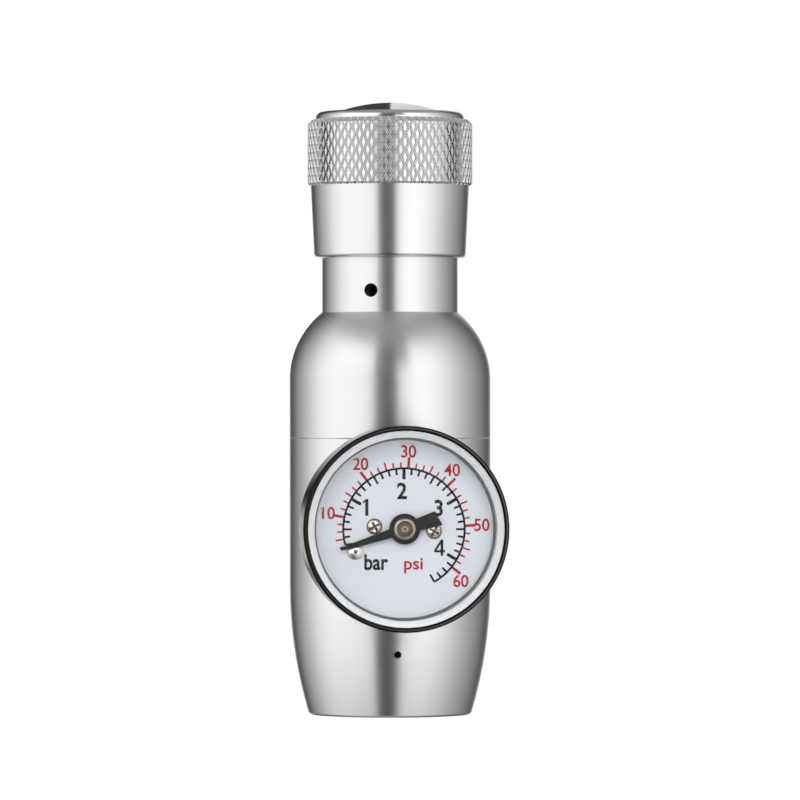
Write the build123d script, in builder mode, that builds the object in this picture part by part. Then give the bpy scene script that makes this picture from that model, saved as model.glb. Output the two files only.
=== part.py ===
import os
from math import asin, atan2, cos, degrees, radians, sin

from build123d import *

os.makedirs("parts", exist_ok=True)

# Miniature pressure regulator for a small screw-in gas cartridge, in millimetres.
# Z is the axis of the turned body, z = 0 is its bottom ring, and the gauge looks along -Y.

# Turned body: foot, barrel and the spigot that the bonnet screws onto
body_d = 28.0
foot_d = 22.8
foot_height = 18.0
barrel_top = 38.5
spigot_d = 24.6
spigot_length = 7.3
foot_edge = 0.25
seam_break = 0.08

# Cartridge socket in the foot and the brass inlet that holds the cartridge neck
socket_d = 20.4
socket_straight = 2.5
socket_neck_d = 15.0
socket_depth = 9.0
insert_d = 14.0
insert_length = 11.0
neck_thread_d = 8.6
neck_relief_d = 9.8
neck_relief_length = 2.4
insert_web = 1.8
seal_thickness = 1.2
pin_d = 2.4
pin_bore_d = 1.0
pin_collar_d = 5.0
pin_reach = 1.8
filter_d = 8.0
filter_thickness = 1.5
foot_vent_d = 1.0
foot_vent_height = 8.75

# High-pressure valve: pocket, soft seat, seat retainer and sprung poppet
inlet_passage_d = 1.6
inlet_passage_length = 2.5
pocket_d = 6.8
pocket_depth = 6.9
seat_d = 9.0
seat_thickness = 1.0
seat_hole_d = 1.8
retainer_length = 3.1
retainer_socket_af = 3.0
retainer_socket_depth = 1.6
poppet_spring_d = 4.4
poppet_wire = 0.5
poppet_coils = 3.0
poppet_spring_length = 3.4
poppet_guide_height = 1.6
poppet_flats = 5.4
poppet_head_d = 2.8
poppet_cone_height = 0.6
poppet_pin_d = 1.2
valve_lift = 0.6

# Sensing piston with its ring seal, and the main spring that loads it
chamber_d = 18.0
piston_rest_height = 1.2
piston_height = 8.6
piston_floor = 3.8
ring_groove_bottom_d = 14.4
ring_groove_start = 1.0
ring_groove_width = 2.0
ring_corner = 0.5
spring_mean_d = 11.0
spring_wire_width = 2.0
spring_wire_height = 1.8
spring_coils = 4.0

# Bonnet: barrel, rounded shoulder, and the neck that guides the knob
bonnet_straight = 8.1
shoulder_height = 9.4
neck_d = 18.9
neck_length = 16.0
neck_edge = 0.5
spring_bore_d = 14.4
screw_web = 4.0
neck_vent_d = 1.9
neck_vent_above_shoulder = 3.0
neck_vent_turn = 21.0

# Adjusting knob, its domed cap and the screw that it turns
screw_thread_d = 8.0
screw_pitch = 1.0
screw_turns = 6
screw_flange_d = 10.0
screw_flange_height = 1.4
screw_nose_height = 0.9
screw_nose_d = 3.0
drive_af = 6.4
stop_gap = 0.2
travel_reserve = 1.6
button_d = 12.6
button_height = 2.0
button_spigot_height = 1.9
button_gap = 0.1
knob_bore_d = 19.3
knob_bore_depth = 16.0
knob_web = 2.4
skirt_bottom_d = 21.1
skirt_top_d = 22.06
skirt_height = 10.1
skirt_chamfer = 0.5
grip_d = 23.0
grip_height = 9.2
grip_bottom_chamfer = 0.4
grip_top_chamfer = 0.7
lip_d = 20.7
lip_height = 1.1
lip_round = 1.0
cap_d = 14.6
cap_seat_depth = 1.0
cap_seat_width = 2.5
cap_rise = 1.3
knob_screw_head_d = 8.4
knob_screw_head_height = 1.3
knob_screw_d = 3.0
knob_screw_length = 6.0
knob_screw_socket_depth = 0.7

# Gauge: port, stem, case, lens and dial, measured forward from the body axis
gauge_height = 26.3
port_spot_depth = 1.2
port_face_margin = 0.3
port_thread_d = 8.0
port_depth = 5.8
port_pilot_d = 2.0
port_pilot_depth = 1.0
riser_d = 1.5
washer_d = 10.8
washer_thickness = 0.6
stem_end_gap = 0.4
stem_bore_d = 1.6
stem_hex_af = 10.0
stem_hex_length = 3.6
stem_collar_d = 11.8
stem_collar_step = 0.4
case_d = 28.0
case_wall = 0.68
case_back_thickness = 0.6
case_depth = 9.9
case_back_chamfer = 0.8
case_lip_chamfer = 0.2
lens_thickness = 1.5
lens_window_margin = 1.4
lens_groove_margin = 0.95
lens_rim_land = 0.35
lens_skirt = 0.8
dial_gap_below_lens = 2.4
dial_thickness = 0.4
dial_margin = 0.45
dial_hole_d = 2.0

# Gauge movement: socket block, coiled pressure tube, plates, sector, pinion and link
block_core_d = 9.0
block_leg_width = 5.0
ear_spacing = 14.8
ear_d = 3.0
tube_block_gap = 0.3
tube_width = 2.6
tube_thickness = 1.2
tube_wall = 0.25
tube_back_gap = 0.5
tube_root_angle = -92.0
tube_sweep = 288.0
tube_edge = 0.35
end_cap_sweep = 9.0
end_cap_width = 1.8
lug_thickness = 0.35
lug_width = 0.96
plate_thickness = 0.4
front_plate_thickness = 0.5
pillar_d = 1.8
pillar_length = 1.8
pillar_radius = 4.07
pillar_tilt = 4.7
plate_margin = 0.9
tooth_module = 0.15
pinion_teeth = 8
gear_ratio = 10
sector_teeth = 10
teeth_past_mesh = 2
tooth_width = 0.19
tooth_tip_width = 0.06
sector_window_inset = 12.0
sector_thickness = 0.5
sector_rim = 0.9
sector_hub_d = 2.2
arm_width = 0.9
tail_length = 2.2
tail_angle = -35.0
arbor_d = 0.6
link_thickness = 0.3
link_width = 0.8
link_pin_d = 0.5
link_end_x = 6.3
link_end_y = -3.2
layer_gap = 0.05
hairspring_turns = 3
hairspring_pitch = 0.5
hairspring_start = 0.9
hairspring_strip = 0.08
hairspring_height = 0.3
stud_size = 0.5

# Pointer, its hub, its rest pin and the small screws
pointer_rest_angle = -107.7
pointer_full_angle = 150.0
pointer_length = 9.16
pointer_tip_width = 0.35
pointer_waist_radius = 7.73
pointer_waist_width = 0.65
pointer_root_width = 1.45
pointer_disc_d = 4.2
pointer_tail_length = 4.6
pointer_tail_slant = 0.5
pointer_tail_width = 2.1
pointer_thickness = 0.25
pointer_above_dial = 0.7
hub_cap_d = 2.94
hub_cap_height = 0.4
hub_boss_d = 1.8
hub_below_pointer = 0.4
rest_pin_radius = 7.33
rest_pin_angle = -114.8
rest_pin_head_d = 2.3
rest_pin_head_height = 0.35
rest_pin_chamfer = 0.18
rest_post_d = 0.6
rest_post_height = 1.2
dial_screw_head_d = 2.2
dial_screw_head_height = 0.45
dial_screw_d = 1.0
dial_screw_length = 2.2
case_screw_head_d = 2.4
case_screw_head_height = 0.8
case_screw_d = 1.6
case_screw_length = 2.0
movement_screw_head_d = 1.5
movement_screw_head_height = 0.35
movement_screw_d = 0.8
movement_screw_length = 1.6
movement_screw_spacing = 2.6
movement_screw_drop = 4.3

# Outlet port at the back of the body
outlet_thread_d = 10.0
outlet_depth = 5.8

# Clearances
slide_fit = 0.05
seal_fit = 0.02
screw_fit = 0.05
pivot_fit = 0.02
pin_fit = 0.1
valve_gap = 0.05

# Heights of the internal stack, from the cartridge end upward
insert_top = socket_depth + insert_length
seal_top = insert_top - insert_web
seal_bottom = seal_top - seal_thickness
neck_thread_top = seal_bottom - neck_relief_length
filter_top = insert_top + filter_thickness
pocket_floor = filter_top + inlet_passage_length
pocket_top = pocket_floor + pocket_depth
seat_top = pocket_top + seat_thickness
chamber_floor = seat_top + retainer_length
spigot_top = barrel_top + spigot_length
piston_bottom = chamber_floor + piston_rest_height
piston_top = piston_bottom + piston_height
spring_seat = piston_bottom + piston_floor
shoulder_bottom = barrel_top + bonnet_straight
shoulder_top = shoulder_bottom + shoulder_height
neck_top = shoulder_top + neck_length
web_bottom = neck_top - screw_web
thread_top = spigot_top + stop_gap

# Heights of the knob, which hangs on the adjusting screw
screw_travel = screw_turns * screw_pitch
knob_ceiling = neck_top + screw_travel + travel_reserve
knob_bottom = knob_ceiling - knob_bore_depth
grip_bottom = knob_bottom + skirt_height
grip_top = grip_bottom + grip_height
knob_top = grip_top + lip_height
knob_floor = knob_ceiling + knob_web
cap_seat = knob_top - cap_seat_depth
flange_top = web_bottom - stop_gap
flange_bottom = flange_top - screw_flange_height
button_top = flange_bottom - button_gap
spring_top = button_top - button_height
spring_length = spring_top - spring_seat

# Distances of the gauge pieces forward of the body axis
port_face = body_d / 2 - port_spot_depth
port_face_d = stem_hex_af / cos(radians(30)) + 2 * port_face_margin
port_floor = port_face - port_depth
stem_end = port_floor + stem_end_gap
washer_face = port_face + washer_thickness
collar_start = washer_face + stem_hex_length
case_back = collar_start + stem_collar_step
case_floor = case_back + case_back_thickness
case_front = case_back + case_depth
lens_back = case_front - lens_thickness
dial_face = lens_back - dial_gap_below_lens
dial_back = dial_face - dial_thickness
front_plate_back = dial_back - front_plate_thickness
pillar_back = front_plate_back - pillar_length
back_plate_back = pillar_back - plate_thickness
tube_back = case_floor + tube_back_gap
tube_front = tube_back + tube_width
link_back = tube_front + layer_gap
link_front = link_back + link_thickness
sector_back = link_front + layer_gap
sector_front = sector_back + sector_thickness
pointer_back = dial_face + pointer_above_dial
pointer_front = pointer_back + pointer_thickness
case_bore_d = case_d - 2 * case_wall
lens_window_d = case_bore_d - 2 * lens_window_margin
lens_groove_d = case_bore_d - 2 * lens_groove_margin
dial_d = case_bore_d - 2 * dial_margin
tube_radius = (ear_spacing + ear_d + tube_thickness) / 2 + tube_block_gap

# Movement geometry on the dial's own plane, x to the right and y up
pinion_radius = tooth_module * pinion_teeth / 2
sector_radius = pinion_radius * gear_ratio
sector_y = -(pinion_radius + sector_radius)
tooth_step = 360 / (pinion_teeth * gear_ratio)
tooth_root_depth = 1.25 * tooth_module
pointer_sweep = pointer_full_angle - pointer_rest_angle
sector_swing = pointer_sweep / gear_ratio
tail_x = tail_length * cos(radians(tail_angle))
tail_y = sector_y + tail_length * sin(radians(tail_angle))
rest_pin_x = rest_pin_radius * sin(radians(rest_pin_angle))
rest_pin_y = rest_pin_radius * cos(radians(rest_pin_angle))

gauge_axis = Axis((0, 0, gauge_height), (0, -1, 0))
gauge_section = Plane(origin=(0, 0, gauge_height), x_dir=(1, 0, 0), z_dir=(0, 0, -1))


def gauge_plane(distance, x=0, y=0):
    """Plane that faces the dial's reader, at a distance forward of the body axis."""
    return Plane(origin=(x, -distance, gauge_height + y), x_dir=(1, 0, 0), z_dir=(0, -1, 0))


def back_plane(distance):
    """Plane that faces backward, at a distance behind the body axis."""
    return Plane(origin=(0, distance, gauge_height), x_dir=(-1, 0, 0), z_dir=(0, 1, 0))


def tooth_points(radius, root_depth, tip_height, width):
    """Outline of one clock-type tooth that points along +Y from a wheel centre."""
    half = width / 2 / radius
    root = radius - root_depth
    tip = radius + tip_height
    tip_half = tooth_tip_width / 2 / tip
    return [
        (-root * sin(half), root * cos(half)),
        (-radius * sin(half), radius * cos(half)),
        (-tip * sin(tip_half), tip * cos(tip_half)),
        (tip * sin(tip_half), tip * cos(tip_half)),
        (radius * sin(half), radius * cos(half)),
        (root * sin(half), root * cos(half)),
    ]


# Body and cartridge inlet

with BuildPart() as lower_body:
    with BuildSketch(Plane.XZ):
        with BuildLine():
            foot_curve = TangentArc(
                (body_d / 2, foot_height), (foot_d / 2, foot_edge), tangent=(0, -1)
            )
            Polyline(
                foot_curve @ 1,
                (foot_d / 2 - foot_edge, 0),
                (0, 0),
                (0, spigot_top),
                (spigot_d / 2, spigot_top),
                (spigot_d / 2, barrel_top),
                (body_d / 2 - seam_break, barrel_top),
                (body_d / 2, barrel_top - seam_break),
                foot_curve @ 0,
            )
        make_face()
    revolve(axis=Axis.Z)
    with BuildSketch(Plane.XZ):
        with BuildLine():
            Polyline(
                (0, 0),
                (socket_d / 2, 0),
                (socket_d / 2, socket_straight),
                (socket_neck_d / 2, socket_depth),
                (insert_d / 2, socket_depth),
                (insert_d / 2, insert_top),
                (filter_d / 2, insert_top),
                (filter_d / 2, filter_top),
                (inlet_passage_d / 2, filter_top),
                (inlet_passage_d / 2, pocket_floor),
                (pocket_d / 2, pocket_floor),
                (pocket_d / 2, pocket_top),
                (seat_d / 2, pocket_top),
                (seat_d / 2, chamber_floor),
                (chamber_d / 2, chamber_floor),
                (chamber_d / 2, spigot_top),
                (0, spigot_top),
                close=True,
            )
        make_face()
    revolve(axis=Axis.Z, mode=Mode.SUBTRACT)
    for port_side, thread_d, depth in (
        (gauge_plane(port_face), port_thread_d, port_depth),
        (back_plane(port_face), outlet_thread_d, outlet_depth),
    ):
        with Locations(port_side):
            Cylinder(
                port_face_d / 2,
                body_d / 2,
                align=(Align.CENTER, Align.CENTER, Align.MIN),
                mode=Mode.SUBTRACT,
            )
            Hole(thread_d / 2, depth)
            Hole(port_pilot_d / 2, depth + port_pilot_depth)
    with Locations(
        (0, -(port_floor - port_pilot_depth / 2), chamber_floor),
        (0, port_face - outlet_depth - port_pilot_depth / 2, chamber_floor),
    ):
        Hole(riser_d / 2, chamber_floor - gauge_height)
    with Locations(gauge_plane(body_d / 2, y=foot_vent_height - gauge_height)):
        Hole(foot_vent_d / 2, body_d / 2)
lower_body.part.label = "lower_body"
export_step(lower_body.part, "parts/lower_body.step")

with BuildPart() as inlet_insert:
    with BuildSketch(Plane.XZ):
        with BuildLine():
            Polyline(
                (neck_thread_d / 2, socket_depth),
                (insert_d / 2, socket_depth),
                (insert_d / 2, insert_top),
                (pin_collar_d / 2, insert_top),
                (pin_collar_d / 2, seal_top),
                (neck_relief_d / 2, seal_top),
                (neck_relief_d / 2, neck_thread_top),
                (neck_thread_d / 2, neck_thread_top),
                close=True,
            )
        make_face()
    revolve(axis=Axis.Z)
inlet_insert.part.label = "inlet_insert"
export_step(inlet_insert.part, "parts/inlet_insert.step")

with BuildPart() as cartridge_seal:
    with BuildSketch(Plane.XY.offset(seal_bottom)):
        Circle(neck_relief_d / 2)
        Circle(pin_d / 2 + pin_fit, mode=Mode.SUBTRACT)
    extrude(amount=seal_thickness)
cartridge_seal.part.label = "cartridge_seal"
export_step(cartridge_seal.part, "parts/cartridge_seal.step")

with BuildPart() as piercing_pin:
    pin_tip = seal_bottom - pin_reach
    with BuildSketch(Plane.XZ):
        with BuildLine():
            Polyline(
                (0, pin_tip),
                (pin_d / 2, pin_tip),
                (pin_d / 2, seal_top),
                (pin_collar_d / 2, seal_top),
                (pin_collar_d / 2, insert_top),
                (0, insert_top),
                close=True,
            )
        make_face()
    revolve(axis=Axis.Z)
    with Locations((0, 0, insert_top)):
        Hole(pin_bore_d / 2)
    split(bisect_by=Plane((0, 0, pin_tip + pin_d / 2), z_dir=(1, 0, 1.2)), keep=Keep.TOP)
piercing_pin.part.label = "piercing_pin"
export_step(piercing_pin.part, "parts/piercing_pin.step")

with BuildPart() as inlet_filter:
    with BuildSketch(Plane.XY.offset(insert_top)):
        Circle(filter_d / 2)
    extrude(amount=filter_thickness)
inlet_filter.part.label = "inlet_filter"
export_step(inlet_filter.part, "parts/inlet_filter.step")

# Valve

with BuildPart() as valve_seat:
    with BuildSketch(Plane.XY.offset(pocket_top)):
        Circle(seat_d / 2)
        Circle(seat_hole_d / 2, mode=Mode.SUBTRACT)
    extrude(amount=seat_thickness)
valve_seat.part.label = "valve_seat"
export_step(valve_seat.part, "parts/valve_seat.step")

with BuildPart() as seat_retainer:
    with BuildSketch(Plane.XY.offset(seat_top)):
        Circle(seat_d / 2)
        Circle(seat_hole_d / 2, mode=Mode.SUBTRACT)
    extrude(amount=retainer_length)
    with BuildSketch(Plane.XY.offset(chamber_floor)):
        RegularPolygon(retainer_socket_af / 2, 6, major_radius=False)
    extrude(amount=-retainer_socket_depth, mode=Mode.SUBTRACT)
seat_retainer.part.label = "seat_retainer"
export_step(seat_retainer.part, "parts/seat_retainer.step")

poppet_bottom = pocket_floor + poppet_spring_length
poppet_shoulder = poppet_bottom + poppet_guide_height
with BuildPart() as valve_poppet:
    with BuildSketch(Plane.XZ):
        with BuildLine():
            Polyline(
                (0, poppet_bottom),
                (pocket_d / 2 - slide_fit, poppet_bottom),
                (pocket_d / 2 - slide_fit, poppet_shoulder),
                (poppet_head_d / 2, poppet_shoulder),
                (poppet_head_d / 2, pocket_top - poppet_cone_height),
                (poppet_pin_d / 2, pocket_top - valve_gap),
                (poppet_pin_d / 2, piston_bottom - valve_gap),
                (0, piston_bottom - valve_gap),
                close=True,
            )
        make_face()
    revolve(axis=Axis.Z)
    with BuildSketch(Plane.XY.offset(poppet_bottom)):
        Circle(pocket_d)
        Rectangle(poppet_flats, poppet_flats, mode=Mode.SUBTRACT)
    extrude(amount=poppet_guide_height, mode=Mode.SUBTRACT)
valve_poppet.part.label = "valve_poppet"
export_step(valve_poppet.part, "parts/valve_poppet.step")


def flat_wire_spring(mean_d, wire_width, wire_height, length, coils, floor):
    """Closed spring of flat wire: a coil between two flat end rings, standing on a floor."""
    rise = length - 2 * wire_height
    with BuildPart() as spring:
        for ring_floor in (floor, floor + length - wire_height):
            with BuildSketch(Plane.XY.offset(ring_floor)):
                Circle((mean_d + wire_width) / 2)
                Circle((mean_d - wire_width) / 2, mode=Mode.SUBTRACT)
            extrude(amount=wire_height)
        with BuildLine():
            Helix(rise / coils, rise, mean_d / 2, center=(0, 0, floor + wire_height))
        with BuildSketch(Plane((mean_d / 2, 0, floor + wire_height), z_dir=(0, 1, 0))):
            Rectangle(wire_width, wire_height)
        sweep(is_frenet=True)
    return spring.part


poppet_spring = flat_wire_spring(
    poppet_spring_d - poppet_wire,
    poppet_wire,
    poppet_wire,
    poppet_spring_length,
    poppet_coils,
    pocket_floor,
)
poppet_spring.label = "poppet_spring"
export_step(poppet_spring, "parts/poppet_spring.step")

# Piston and main spring

with BuildPart() as piston:
    groove_bottom = piston_bottom + ring_groove_start
    groove_top = groove_bottom + ring_groove_width
    piston_r = chamber_d / 2 - slide_fit
    spring_pocket_r = spring_mean_d / 2 + spring_wire_width / 2 + slide_fit
    with BuildSketch(Plane.XZ):
        with BuildLine():
            Polyline(
                (0, piston_bottom),
                (piston_r, piston_bottom),
                (piston_r, groove_bottom),
                (ring_groove_bottom_d / 2, groove_bottom),
                (ring_groove_bottom_d / 2, groove_top),
                (piston_r, groove_top),
                (piston_r, piston_top),
                (spring_pocket_r, piston_top),
                (spring_pocket_r, spring_seat),
                (0, spring_seat),
                close=True,
            )
        make_face()
    revolve(axis=Axis.Z)
piston.part.label = "piston"
export_step(piston.part, "parts/piston.step")

with BuildPart() as piston_ring:
    with BuildSketch(Plane.XZ):
        with Locations(
            (
                (ring_groove_bottom_d / 2 + chamber_d / 2 - seal_fit) / 2,
                (groove_bottom + groove_top) / 2,
            )
        ):
            Rectangle(
                chamber_d / 2 - seal_fit - ring_groove_bottom_d / 2,
                ring_groove_width,
            )
        chamfer(vertices(), ring_corner)
    revolve(axis=Axis.Z)
piston_ring.part.label = "piston_ring"
export_step(piston_ring.part, "parts/piston_ring.step")

main_spring = flat_wire_spring(
    spring_mean_d,
    spring_wire_width,
    spring_wire_height,
    spring_length,
    spring_coils,
    spring_seat,
)
main_spring.label = "main_spring"
export_step(main_spring, "parts/main_spring.step")

with BuildPart() as spring_button:
    spigot_r = spring_mean_d / 2 - spring_wire_width / 2 - slide_fit
    with BuildSketch(Plane.XZ):
        with BuildLine():
            Polyline(
                (0, spring_top - button_spigot_height),
                (spigot_r, spring_top - button_spigot_height),
                (spigot_r, spring_top),
                (button_d / 2, spring_top),
                (button_d / 2, button_top),
                (screw_nose_d / 2, button_top),
                (0, button_top - screw_nose_height),
                close=True,
            )
        make_face()
    revolve(axis=Axis.Z)
spring_button.part.label = "spring_button"
export_step(spring_button.part, "parts/spring_button.step")

# Bonnet

with BuildPart() as bonnet:
    with BuildSketch(Plane.XZ):
        with BuildLine():
            shoulder = TangentArc(
                (body_d / 2, shoulder_bottom), (neck_d / 2, shoulder_top), tangent=(0, 1)
            )
            Polyline(
                shoulder @ 1,
                (neck_d / 2, neck_top - neck_edge),
                (neck_d / 2 - neck_edge, neck_top),
                (screw_thread_d / 2 + screw_fit, neck_top),
                (screw_thread_d / 2 + screw_fit, web_bottom),
                (spring_bore_d / 2, web_bottom),
                (spring_bore_d / 2, thread_top),
                (spigot_d / 2, thread_top),
                (spigot_d / 2, barrel_top),
                (body_d / 2 - seam_break, barrel_top),
                (body_d / 2, barrel_top + seam_break),
                shoulder @ 0,
            )
        make_face()
    revolve(axis=Axis.Z)
    vent_side = Vector(0, -1, 0).rotate(Axis.Z, -neck_vent_turn)
    vent_place = vent_side * (neck_d / 2) + Vector(0, 0, shoulder_top + neck_vent_above_shoulder)
    with Locations(Plane(vent_place, z_dir=vent_side)):
        Hole(neck_vent_d / 2, neck_d / 2)
bonnet.part.label = "bonnet"
export_step(bonnet.part, "parts/bonnet.step")

# Knob, cap and adjusting screw

with BuildPart() as adjusting_screw:
    with BuildSketch(Plane.XZ):
        with BuildLine():
            Polyline(
                (0, flange_bottom - screw_nose_height),
                (screw_nose_d / 2, flange_bottom),
                (screw_flange_d / 2, flange_bottom),
                (screw_flange_d / 2, flange_top),
                (screw_thread_d / 2, flange_top),
                (screw_thread_d / 2, knob_ceiling),
                (0, knob_ceiling),
                close=True,
            )
        make_face()
    revolve(axis=Axis.Z)
    with BuildSketch(Plane.XY.offset(knob_ceiling)):
        RegularPolygon(drive_af / 2, 6, major_radius=False)
    extrude(amount=knob_web)
    with Locations((0, 0, knob_floor)):
        Hole(knob_screw_d / 2, knob_screw_length)
adjusting_screw.part.label = "adjusting_screw"
export_step(adjusting_screw.part, "parts/adjusting_screw.step")

with BuildPart() as adjusting_knob:
    with BuildSketch(Plane.XZ):
        with BuildLine():
            Polyline(
                (knob_bore_d / 2, knob_bottom),
                (skirt_bottom_d / 2, knob_bottom),
                (skirt_top_d / 2, grip_bottom),
                (grip_d / 2 - grip_bottom_chamfer, grip_bottom),
                (grip_d / 2, grip_bottom + 2 * grip_bottom_chamfer),
                (grip_d / 2, grip_top - grip_top_chamfer),
                (grip_d / 2 - grip_top_chamfer, grip_top),
                (lip_d / 2, grip_top),
                (lip_d / 2, knob_top),
                (cap_d / 2, knob_top),
                (cap_d / 2, cap_seat),
                (cap_d / 2 - cap_seat_width, cap_seat),
                (cap_d / 2 - cap_seat_width, knob_floor),
                (0, knob_floor),
                (0, knob_ceiling),
                (knob_bore_d / 2, knob_ceiling),
                close=True,
            )
        make_face()
        skirt_corner = (skirt_bottom_d / 2, knob_bottom)
        chamfer(vertices().sort_by_distance(skirt_corner)[0], skirt_chamfer)
        fillet(vertices().sort_by_distance((lip_d / 2, knob_top))[0], lip_round)
    revolve(axis=Axis.Z)
    with BuildSketch(Plane.XY.offset(knob_ceiling)):
        RegularPolygon(drive_af / 2, 6, major_radius=False)
    extrude(amount=knob_web, mode=Mode.SUBTRACT)
adjusting_knob.part.label = "adjusting_knob"
export_step(adjusting_knob.part, "parts/adjusting_knob.step")

with BuildPart() as knob_screw:
    with BuildSketch(Plane.XY.offset(knob_floor)):
        Circle(knob_screw_head_d / 2)
    extrude(amount=knob_screw_head_height)
    with BuildSketch(Plane.XY.offset(knob_floor)):
        Circle(knob_screw_d / 2)
    extrude(amount=-knob_screw_length)
    with BuildSketch(Plane.XY.offset(knob_floor + knob_screw_head_height)):
        RegularPolygon(knob_screw_d / 2, 6)
    extrude(amount=-knob_screw_socket_depth, mode=Mode.SUBTRACT)
knob_screw.part.label = "knob_screw"
export_step(knob_screw.part, "parts/knob_screw.step")

with BuildPart() as knob_cap:
    with BuildSketch(Plane.XZ):
        with BuildLine():
            dome = ThreePointArc(
                (-cap_d / 2, knob_top), (0, knob_top + cap_rise), (cap_d / 2, knob_top)
            )
            Polyline(dome @ 0, (-cap_d / 2, cap_seat), (cap_d / 2, cap_seat), dome @ 1)
        make_face()
        with BuildLine():
            Polyline(
                (0, cap_seat),
                (cap_d / 2 - cap_seat_width, cap_seat),
                (cap_d / 2 - cap_seat_width, knob_top),
                (0, knob_top),
                close=True,
            )
        make_face(mode=Mode.SUBTRACT)
        with Locations((-cap_d, 0)):
            Rectangle(2 * cap_d, 4 * knob_top, mode=Mode.SUBTRACT)
    revolve(axis=Axis.Z)
knob_cap.part.label = "knob_cap"
export_step(knob_cap.part, "parts/knob_cap.step")

# Gauge case, lens, dial and stem

with BuildPart() as gauge_seal_washer:
    with BuildSketch(gauge_plane(port_face)):
        Circle(washer_d / 2)
        Circle(port_thread_d / 2, mode=Mode.SUBTRACT)
    extrude(amount=washer_thickness)
gauge_seal_washer.part.label = "gauge_seal_washer"
export_step(gauge_seal_washer.part, "parts/gauge_seal_washer.step")

block_front = back_plate_back
leg_end = tube_radius + tube_thickness
tube_embedded = degrees(asin(block_leg_width / 2 / (tube_radius - tube_thickness / 2)))
movement_screw_places = [
    (side * movement_screw_spacing / 2, -movement_screw_drop) for side in (-1, 1)
]


def tube_band(distance, inset, sweep):
    """Face of the coiled tube seen from the front, inset by its wall where it is hollow."""
    with BuildSketch(gauge_plane(distance)) as band:
        with BuildLine():
            outer_arc = CenterArc(
                (0, 0), tube_radius + tube_thickness / 2 - inset, tube_root_angle, -sweep
            )
            inner_arc = CenterArc(
                (0, 0), tube_radius - tube_thickness / 2 + inset, tube_root_angle, -sweep
            )
            Line(outer_arc @ 0, inner_arc @ 0)
            Line(outer_arc @ 1, inner_arc @ 1)
        make_face()
    return band.sketch


def movement_plate(distance, thickness):
    """Plate of the movement: a hull round both pillars and the sector's pivot, with pivot holes."""
    with BuildPart() as plate:
        with BuildSketch(gauge_plane(distance)):
            with Locations(*pillar_places):
                Circle(pillar_d / 2 + plate_margin)
            with Locations((0, sector_y)):
                Circle(arbor_d / 2 + plate_margin)
            make_hull()
            with Locations((0, 0), (0, sector_y)):
                Circle(arbor_d / 2 + pivot_fit, mode=Mode.SUBTRACT)
        extrude(amount=thickness)
    return plate.part


with BuildPart() as gauge_stem:
    with BuildSketch(gauge_plane(stem_end)):
        Circle(port_thread_d / 2)
    extrude(amount=washer_face - stem_end)
    with BuildSketch(gauge_plane(washer_face)):
        RegularPolygon(stem_hex_af / 2, 6, major_radius=False)
    extrude(amount=stem_hex_length)
    with BuildSketch(gauge_plane(collar_start)):
        Circle(stem_collar_d / 2)
    extrude(amount=case_floor - collar_start)
    with BuildSketch(gauge_plane(case_floor)):
        with Locations((-ear_spacing / 2, 0), (ear_spacing / 2, 0)):
            Circle(ear_d / 2)
        Circle(block_core_d / 2)
        make_hull()
        with Locations((0, -leg_end / 2)):
            Rectangle(block_leg_width, leg_end)
    extrude(amount=block_front - case_floor)
    with BuildSketch(gauge_plane(block_front)):
        with Locations((0, -leg_end + tube_thickness)):
            Rectangle(block_leg_width, 2 * tube_thickness)
    extrude(amount=tube_front + tube_edge - block_front)
    extrude(tube_band(tube_back, 0, tube_embedded), amount=tube_width, mode=Mode.SUBTRACT)
    with Locations(back_plane(-stem_end)):
        Hole(stem_bore_d / 2, tube_back + tube_width / 2 - stem_end)
    with Locations((0, -tube_back - tube_width / 2, gauge_height)):
        Hole(tube_thickness / 2 - tube_wall, tube_radius)
    with Locations(gauge_plane(case_floor)):
        with Locations((-ear_spacing / 2, 0), (ear_spacing / 2, 0)):
            Cylinder(
                case_screw_d / 2,
                case_screw_length - case_back_thickness,
                align=(Align.CENTER, Align.CENTER, Align.MIN),
                mode=Mode.SUBTRACT,
            )
    with Locations(gauge_plane(block_front)):
        with Locations(*movement_screw_places):
            Hole(movement_screw_d / 2, movement_screw_length - plate_thickness)
gauge_stem.part.label = "gauge_stem"
export_step(gauge_stem.part, "parts/gauge_stem.step")

with BuildPart() as gauge_case:
    with BuildSketch(gauge_section):
        with BuildLine():
            Polyline(
                (stem_collar_d / 2, case_back),
                (case_d / 2 - case_back_chamfer, case_back),
                (case_d / 2, case_back + case_back_chamfer),
                (case_d / 2, case_front - case_lip_chamfer),
                (case_d / 2 - case_lip_chamfer, case_front),
                (case_bore_d / 2, case_front),
                (case_bore_d / 2, case_floor),
                (stem_collar_d / 2, case_floor),
                close=True,
            )
        make_face()
    revolve(axis=gauge_axis)
    with Locations(gauge_plane(case_floor)):
        with Locations((-ear_spacing / 2, 0), (ear_spacing / 2, 0)):
            Hole(case_screw_d / 2, case_back_thickness)
gauge_case.part.label = "gauge_case"
export_step(gauge_case.part, "parts/gauge_case.step")

with BuildPart() as gauge_lens:
    with BuildSketch(gauge_section):
        with BuildLine():
            Polyline(
                (0, lens_back),
                (case_bore_d / 2 - lens_skirt, lens_back),
                (case_bore_d / 2 - lens_skirt, dial_face),
                (case_bore_d / 2, dial_face),
                (case_bore_d / 2, case_front - lens_rim_land),
                (case_bore_d / 2 - lens_rim_land, case_front),
                (lens_groove_d / 2 + lens_rim_land, case_front),
                (lens_groove_d / 2, case_front - lens_rim_land),
                (lens_window_d / 2, case_front),
                (0, case_front),
                close=True,
            )
        make_face()
    revolve(axis=gauge_axis)
gauge_lens.part.label = "gauge_lens"
export_step(gauge_lens.part, "parts/gauge_lens.step")

pillar_places = [
    (side * pillar_radius * cos(radians(pillar_tilt)), -side * pillar_radius * sin(radians(pillar_tilt)))
    for side in (-1, 1)
]

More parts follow.
